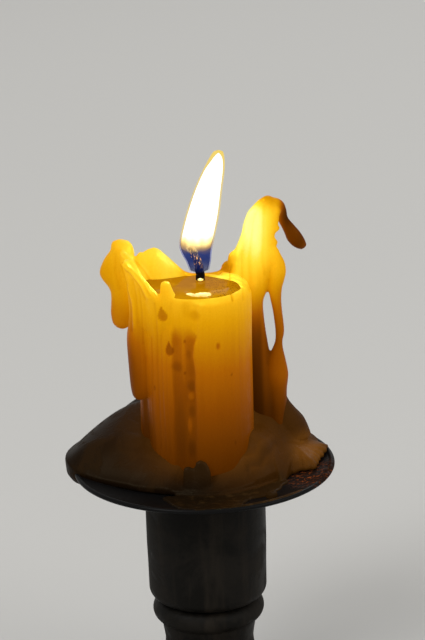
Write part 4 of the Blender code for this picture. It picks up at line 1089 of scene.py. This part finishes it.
# Seen straight on, the body keeps its own shader.  In reflections it is far brighter than
# white, as a real flame is, so that the pool mirrors it.
tree = body_gas.node_tree
mirrored = node(tree, "ShaderNodeEmission", Color=(0.95, 1.0, 0.5), Strength=190.0)
choice = node(tree, "ShaderNodeMixShader")
for socket, source in zip(choice.inputs, (
        node(tree, "ShaderNodeLightPath").outputs["Is Glossy Ray"],
        tree.nodes["Principled BSDF"].outputs["BSDF"], mirrored.outputs["Emission"])):
    plug(tree, socket, source)
plug(tree, tree.nodes["Material Output"].inputs["Surface"], choice.outputs["Shader"])
flame_skin("flame_body", 0.42, 5.0, 40, body_gas)

# ---------------------------------------------------------------- the run-off in the pan
# Candle wax that ran down and set in the pan in layers, old and dusty: a broad mound round the
# shaft, open in a V at the front.  It hangs over the pan's edge at the left, and at the right a
# thick slab of it broke off.
REACH_EASINGS, HEIGHT_EASINGS = 6, 2      # how often the mound's rows are eased
SUNK, FILM_THICK = 0.2, 0.42              # into the pan's floor, and over it
MOUND_RADII = (11, 15, 19, 23, 27)
# (bearing, outer radius, height over the rim there, then the height at each of MOUND_RADII)
MOUND = [
    (0, 19.6, -0.6, 8.8, 7.8, 2.6, -1.5, -2.0), (12, 24.0, 0.6, 10.4, 10.0, 6.4, 1.8, -1.0),
    (20, 28.2, 0.3, 12.2, 11.4, 8.4, 3.6, 0.8), (30, 28.4, 0.4, 13.6, 13.2, 11.4, 6.2, 1.2),
    (38, 28.8, 0.5, 13.9, 13.6, 12.4, 8.2, 2.8), (48, 29.0, 0.5, 14.0, 13.6, 12.4, 9.4, 4.6),
    (90, 28.8, 0.6, 14.4, 14.0, 12.6, 9.8, 5.0), (130, 29.8, 0.6, 13.6, 13.2, 11.8, 9.2, 5.2),
    (152, 31.2, 0.2, 12.2, 12.0, 10.6, 8.2, 5.0), (168, 31.4, 0.8, 10.0, 10.0, 9.0, 7.2, 4.8),
    (182, 31.0, 1.5, 7.5, 8.0, 7.4, 6.3, 4.6), (190, 29.6, 0.6, 7.0, 7.2, 6.0, 4.2, 2.2),
    (196, 25.4, -0.6, 6.5, 6.2, 4.4, 1.6, -0.8), (203, 22.4, -1.0, 5.8, 5.1, 2.6, -1.4, -1.6),
    (213, 19.8, -1.3, 5.0, 3.6, 0.0, -1.6, -1.8), (228, 17.0, -1.6, 4.2, 1.4, -1.6, -1.8, -1.8),
    (240, 15.8, -1.7, 2.9, 0.0, -1.8, -1.8, -1.8), (249, 15.3, -1.7, 0.9, -1.3, -1.8, -1.8, -1.8),
    (278, 15.2, -1.7, 1.0, -1.4, -1.8, -1.8, -1.8), (289, 15.3, -1.7, 2.0, -1.1, -1.8, -1.8, -1.8),
    (303, 15.4, -1.6, 2.6, -0.5, -1.8, -1.8, -1.8), (313, 15.6, -1.5, 4.7, 0.6, -1.7, -1.8, -1.8),
    (326, 16.7, -1.4, 5.6, 3.0, -1.6, -1.8, -1.8), (331, 17.2, -1.3, 9.4, 5.2, -1.4, -1.8, -1.8),
    (338, 17.8, -1.2, 9.2, 6.6, -1.0, -1.8, -1.8),
    (349, 18.8, -1.0, 8.8, 7.4, 0.8, -1.8, -1.8),
]
MOUND_INNER = 10.2
# The heap at the foot of the hanging drip, down to the mound, as lump() takes it.
CONE = [
    (16.6, 5.4, -27.4, 1.9, 1.9), (16.8, 5.8, -30.0, 2.5, 2.5), (17.2, 6.6, -32.4, 3.6, 3.4),
    (17.8, 7.4, -35.4, 5.2, 4.4), (18.2, 8.0, -40.0, 6.4, 5.2),
]
# The slab that broke: its outline (x, y, height over the rim) and its highest place inside.
CHIP = [
    (18.4, -6.9, -1.4), (19.1, -4.5, -1.0), (20.0, -5.0, -1.0), (20.9, -4.4, -0.7),
    (21.7, -3.9, -0.6), (22.4, -4.7, -0.5), (23.4, -4.3, -0.3), (24.2, -5.0, -0.2),
    (25.1, -4.4, 0.0), (24.9, -3.1, 0.0), (25.7, -2.2, 0.1), (25.3, -1.1, 0.1), (26.1, -0.3, 0.2),
    (25.9, 1.0, 0.3), (26.9, 1.7, 0.3), (26.7, 3.2, 0.4), (27.8, 4.2, 0.5), (27.5, 5.4, 0.6),
    (28.2, 6.4, 0.6), (27.4, 7.7, 0.5), (26.2, 9.4, 0.4), (23.0, 10.4, 1.8), (18.8, 9.0, 5.0),
    (15.2, 5.0, 7.4),
    (14.4, -1.5, 6.6), (15.6, -6.6, 2.4), (16.8, -8.2, -1.2),
]
CHIP_TOP = (21.0, 1.2, 2.6)
# The leaves of wax that stand at the front, the same.
LEAVES = [
    [(-1.2, -13.6, -44.6, 3.0, 1.5), (-0.9, -13.5, -42.6, 2.3, 1.1),
     (-0.45, -13.3, -40.4, 2.0, 0.8), (-0.45, -13.0, -38.8, 1.7, 0.65),
     (-0.65, -12.8, -37.4, 1.1, 0.5), (-0.9, -12.7, -36.8, 0.5, 0.4)],
    [(-3.0, -13.4, -44.6, 1.8, 1.4), (-3.2, -13.2, -41.6, 1.5, 0.8),
     (-3.4, -13.0, -39.4, 1.2, 0.6), (-3.5, -12.8, -38.2, 0.9, 0.5)],
]
# The thin film on the pan's front and on its lip: (bearing, inner radius, outer radius).
FILM = [
    (240, 17.5, 18.6), (245, 16.0, 20.0), (250, 14.5, 22.2), (255, 14, 24.8), (260, 14, 27.4),
    (266, 14, 29.0), (274, 14, 28.8), (282, 14, 28.9), (287, 14, 28.4), (290, 14, 24.4),
    (294, 14, 22.6), (299, 14, 21.2), (304, 14, 22.2), (309, 14, 22.9), (315, 14, 21.8),
    (321, 14, 21.6), (327, 14, 20.4), (333, 14, 20.8), (338, 14, 19.6), (342, 15, 18.6),
]
LIP_FILM = [
    (284, 26.6, 28.9), (288, 27.2, 28.9), (292, 27.6, 28.8), (297, 27.3, 28.9), (303, 27.8, 28.8),
    (309, 27.4, 28.9), (315, 28.0, 28.8), (319, 28.2, 28.7),
]
# A crumb of wax on the pan's front: its outline, as the slab's.
CRUMB = [(13.5, -20.2, 0.2), (14.6, -20.9, 0.5), (15.9, -19.6, 0.4), (15.6, -18.4, 0.6),
         (14.4, -18.6, 0.4), (13.2, -19.0, 0.3)]
# Lines that stand up from the mound or are sunk in it: ([(x, y), ...], half width, rise).
FOLDS = [
    ([(8.5, -8.8), (11.5, -7.9), (14.4, -4.6), (15.7, -1.7)], 0.6, 0.45),
    ([(10.4, -9.8), (12.9, -9.0), (15.0, -6.4), (16.2, -3.0)], 0.5, 0.35),
    ([(9.6, -9.5), (12.2, -8.5), (14.8, -5.4), (16.0, -2.2)], 0.5, -0.3),
    ([(-12.6, 10.0), (-18.0, 14.0), (-23.0, 17.0)], 2.0, -0.5),
    ([(3.0, 14.0), (5.0, 20.0), (6.0, 27.0)], 1.8, -0.6),
    ([(14.0, 12.0), (18.0, 17.0), (21.0, 21.0)], 1.8, -0.5),
]


def mound_rows(step):
    """The mound's rows at every step of bearing, eased so that no row shows as a ridge."""
    bearings = np.arange(0, 360, step)
    known = [row[0] for row in MOUND] + [360]
    rows = np.array([np.interp(bearings, known, [row[i] for row in [*MOUND, MOUND[0]]])
                     for i in range(1, len(MOUND[0]))])
    for time in range(REACH_EASINGS):
        eased = 0.5 * rows + 0.25 * (np.roll(rows, 1, axis=1) + np.roll(rows, -1, axis=1))
        rows[:2] = eased[:2]
        if time < HEIGHT_EASINGS:
            rows = eased
    return list(zip(bearings, rows.T))


def ring_of_wax(bm, sections, closed=False):
    """A skin over cross-sections, each a list of (bearing, radius, height)."""
    joined(bm, [[bm.verts.new((r * math.cos(math.radians(b)) * MM,
                               r * math.sin(math.radians(b)) * MM, h * MM))
                 for b, r, h in section] for section in sections], closed)


def mound_section(bearing, row):
    """The mound's outline at a bearing, the top first."""
    reach, edge, *heights = row
    known = [(r, h) for r, h in zip(MOUND_RADII, heights) if r < reach - 0.8] + [(reach, edge)]
    known_radii, known_heights = zip(*known)
    radii = np.linspace(MOUND_INNER, reach, 24)
    tops = sum(np.interp(np.minimum(radii + aside, 2 * reach - radii), known_radii,
                         known_heights) for aside in (-1.5, -0.75, 0, 0.75, 1.5)) / 5
    section = [(r, RIM + h) for r, h in zip(radii, tops)]
    section += [(reach, RIM + edge - 0.7), (reach - 0.2, RIM + min(edge - 0.7, -1.6)),
                (reach - 1.2, PAN_FLOOR - SUNK), (MOUND_INNER, PAN_FLOOR - SUNK)]
    return [(bearing, r, h) for r, h in section]


def film_section(bearing, rows):
    """The film's outline at a bearing: it lies on the dish and laps over the rolled edge."""
    bearings, inners, outers = zip(*rows)
    inner, outer = (np.interp(bearing, bearings, radii) for radii in (inners, outers))
    over = [(bearing, r, max(pan_surface(min(r, LIP)), RIM * (r > LIP))
             + FILM_THICK - 0.2 * (r > LIP)) for r in np.linspace(inner, outer, 16)]
    return over + [(bearing, outer, over[-1][2] - 0.9),
                   (bearing, inner, pan_surface(inner) - 0.3)]


def slab(bm, outline, peak, thick):
    """A slab with a broken outline of (x, y, top height) that rises to a place inside it."""
    top = [bm.verts.new((x * MM, y * MM, h * MM)) for x, y, h in outline]
    base = [bm.verts.new((x * MM, y * MM, (h - thick) * MM)) for x, y, h in outline]
    above = bm.verts.new([value * MM for value in peak])
    inward = [bm.verts.new(((x + 0.25 * (peak[0] - x)) * MM, (y + 0.25 * (peak[1] - y)) * MM,
                            (h + 0.45 * (peak[2] - h)) * MM)) for x, y, h in outline]
    below = bm.verts.new((peak[0] * MM, peak[1] * MM, (PAN_FLOOR - SUNK) * MM))
    for i, vert in enumerate(base):
        after = (i + 1) % len(base)
        bm.faces.new((vert, base[after], top[after], top[i]))
        bm.faces.new((top[i], top[after], inward[after], inward[i]))
        bm.faces.new((inward[i], inward[after], above))
        bm.faces.new((base[after], vert, below))


bm = bmesh.new()
rows = mound_rows(2)
ring_of_wax(bm, [mound_section(b, row) for b, row in rows], closed=True)
for film_rows in (FILM, LIP_FILM):
    ring_of_wax(bm, [film_section(b, film_rows)
                     for b in np.arange(film_rows[0][0], film_rows[-1][0] + 0.1, 1.0)])
slab(bm, [(x, y, RIM + h) for x, y, h in CHIP], (*CHIP_TOP[:2], RIM + CHIP_TOP[2]),
     thick=0.8)
slab(bm, [(x, y, RIM - 0.7 + h) for x, y, h in CRUMB], (14.6, -19.6, RIM), thick=1.2)
lump(bm, CONE, rounding=0.6)
for stations in LEAVES:
    lump(bm, stations, rounding=0.5)
runoff = melted("set_runoff", bm, voxel=0.34, softening=1)

# Folds stand up from the mound or are sunk in it.
places = points_of(runoff.data)
x, y, z = places.T
radius = np.hypot(x, y)
bearing = np.degrees(np.arctan2(y, x)) % 360
reach = np.interp(bearing, [b for b, _ in rows], [row[0] for _, row in rows])
on_mound = step_between(0, 2.0, reach - radius) * step_between(11, 12, radius)
folded = np.zeros(len(places))
for line, width, rise in FOLDS:
    near = np.exp(-(beside(x, y, line) / width) ** 2) * on_mound
    places[:, 2] += rise * near
    folded += np.sign(rise) * near
move_points(runoff.data, places)
x, y, z = places.T

# Painted light: warmer near the candle, towards the right and on raised folds, with painted shade
# in sunk folds; pale on the film and where the slab broke; dark in the leaves, and a painted
# shadow where the dish shows through by the broken slab.
near_candle = np.exp(-np.maximum(radius - 11.0, 0) / 4.5) * step_between(RIM - 2, RIM + 3, z)
dish_under = np.array([pan_surface(min(r, LIP)) for r in radius])
# Painted shadow: darker where the wax lies thin on the dish beside the broken slab.
painted_slab_shadow = (step_between(0.75, 0.35, z - dish_under) * step_between(17, 18.5, x)
          * step_between(-9.0, -7.5, y))
leaf = soft_balls(places, [(-1.8, -13.8, RIM + 1.8, 4.4, 1.6, 4.6, 1.4)]) - 1
paint(runoff.data,
      warmth=np.clip(0.75 * near_candle + 0.42 * step_between(-4, 20, x) + 0.15 * folded, 0, 1),
      broken=soft_balls(places, [(24.0, 1.8, RIM + 1.5, 5.0, 6.5, 3.6, 1.0)]) - 1,
      film=(step_between(0.1, 0.9, radius - reach) * step_between(-6, -9, y)
            * step_between(21, 18, x)),
      dark=np.clip(0.9 * leaf + painted_slab_shadow, 0, 1))


def set_wax():
    """Old wax: dull brown, dusty and layered, with painted warm light and glow where the candle's
    light reaches it, and paler on the thin film and where it broke."""
    made, tree, shader, place = finish("set run-off wax", Specular_IOR_Level=0.05,
                                       Specular_Tint=(1.0, 0.8, 0.5), Emission_Strength=1.0)
    warmth = painted(tree, "warmth")
    dirt = grime(tree, place, 160.0, 2200.0, 0.45)
    layers = grime(tree, place, 420.0, 5200.0, 0.5)
    dull = blended(tree, dirt["Patches"], (0.0070, 0.0034, 0.0012), (0.0140, 0.0066, 0.0020))
    thin = blended(tree, layers["Patches"], (0.010, 0.0054, 0.0020), (0.030, 0.0157, 0.0050))
    fresh = blended(tree, layers["Grit"], (0.090, 0.032, 0.0034), (0.200, 0.072, 0.0080))
    colour = blended(tree, warmth, dull, (0.068, 0.0215, 0.0022))
    # The dark mask holds the leaves' darker wax and the painted shadow by the broken slab.
    for mask, look in (("film", thin), ("broken", fresh), ("dark", (0.0070, 0.0038, 0.0016))):
        colour = blended(tree, painted(tree, mask), colour, look)
    worn = ranged(tree, layers["Grit"], 0.3, 0.7, 0.82, 1.18)
    worn = node(tree, "ShaderNodeCombineColor", Red=worn, Green=worn, Blue=worn)
    fed(tree, shader,
        Base_Color=blended(tree, 1.0, colour, worn.outputs["Color"], "MULTIPLY"),
        # The emission is a painted glow of the candle's light on the wax.
        Emission_Color=blended(tree, product(tree, warmth, 0.5), (0.0, 0.0, 0.0),
                               (0.060, 0.022, 0.002)),
        Roughness=ranged(tree, dirt["Height"], 0.1, 0.9, 0.40, 0.62))
    bumped(tree, shader, dirt["Height"], 0.4, 0.0002)
    return made


runoff.data.materials.append(set_wax())
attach(runoff, "root")
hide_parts("wax_runoff")

# ---------------------------------------------------------------- floor, lights and camera
# A plain pale floor, soft studio light, and a camera a little above the candle, looking along
# +Y with a long lens and a slight tilt.
PALE = (0.56, 0.555, 0.54)
FLOOR_RADIUS, FLOOR_GAP = 6.0, 0.0002

bm = bmesh.new()
bmesh.ops.create_circle(bm, cap_ends=True, segments=96, radius=FLOOR_RADIUS)
mesh = bpy.data.meshes.new("floor")
bm.to_mesh(mesh)
bm.free()
floor = stood("floor", mesh)
floor.location.z = -FLOOR_GAP
floor.data.materials.append(finish("pale floor", Base_Color=PALE, Roughness=0.9,
                                   Specular_IOR_Level=0.1)[0])

world = bpy.data.worlds.new("studio")
bpy.context.scene.world = world
world.use_nodes = True
fed(world.node_tree, world.node_tree.nodes["Background"], Color=PALE, Strength=0.9)


def soft_light(name, place, watts, size):
    """A square soft box that looks at the middle of the candle."""
    lamp = bpy.data.lights.new(name, "AREA")
    lamp.energy = watts
    lamp.size = size
    made = stood(name, lamp)
    aim = Vector(place) - Vector((0, 0, POOL * MM * 0.8))
    turned_to = aim.to_track_quat("Z", "Y").to_matrix().to_4x4()
    made.matrix_world = Matrix.Translation(place) @ turned_to


soft_light("key", (-0.7, -0.8, 1.0), 9.0, 0.6)
soft_light("fill", (0.9, -0.5, 0.6), 4.0, 0.8)
soft_light("back", (0.2, 0.9, 0.9), 3.0, 0.6)

LOOKED_AT = Vector((2.85, 0.0, POOL - 8.9)) * MM
DISTANCE, RISE, TILT = 0.6382, math.radians(18.22), math.radians(-1.76)
outwards = Vector((0, -math.cos(RISE), math.sin(RISE)))
level = Vector((1, 0, 0))
upright = outwards.cross(level)
aside = level * math.cos(TILT) + upright * math.sin(TILT)
above = upright * math.cos(TILT) - level * math.sin(TILT)
lens = bpy.data.cameras.new("camera")
lens.sensor_fit = "VERTICAL"
lens.sensor_height = 36.0
lens.lens = 163.125
lens.clip_start = 0.01
camera = stood("camera", lens)
camera.matrix_world = Matrix.Translation(LOOKED_AT + outwards * DISTANCE) @ Matrix(
    (aside, above, outwards)).transposed().to_4x4()
bpy.context.scene.camera = camera
bpy.context.scene.view_settings.view_transform = "Standard"
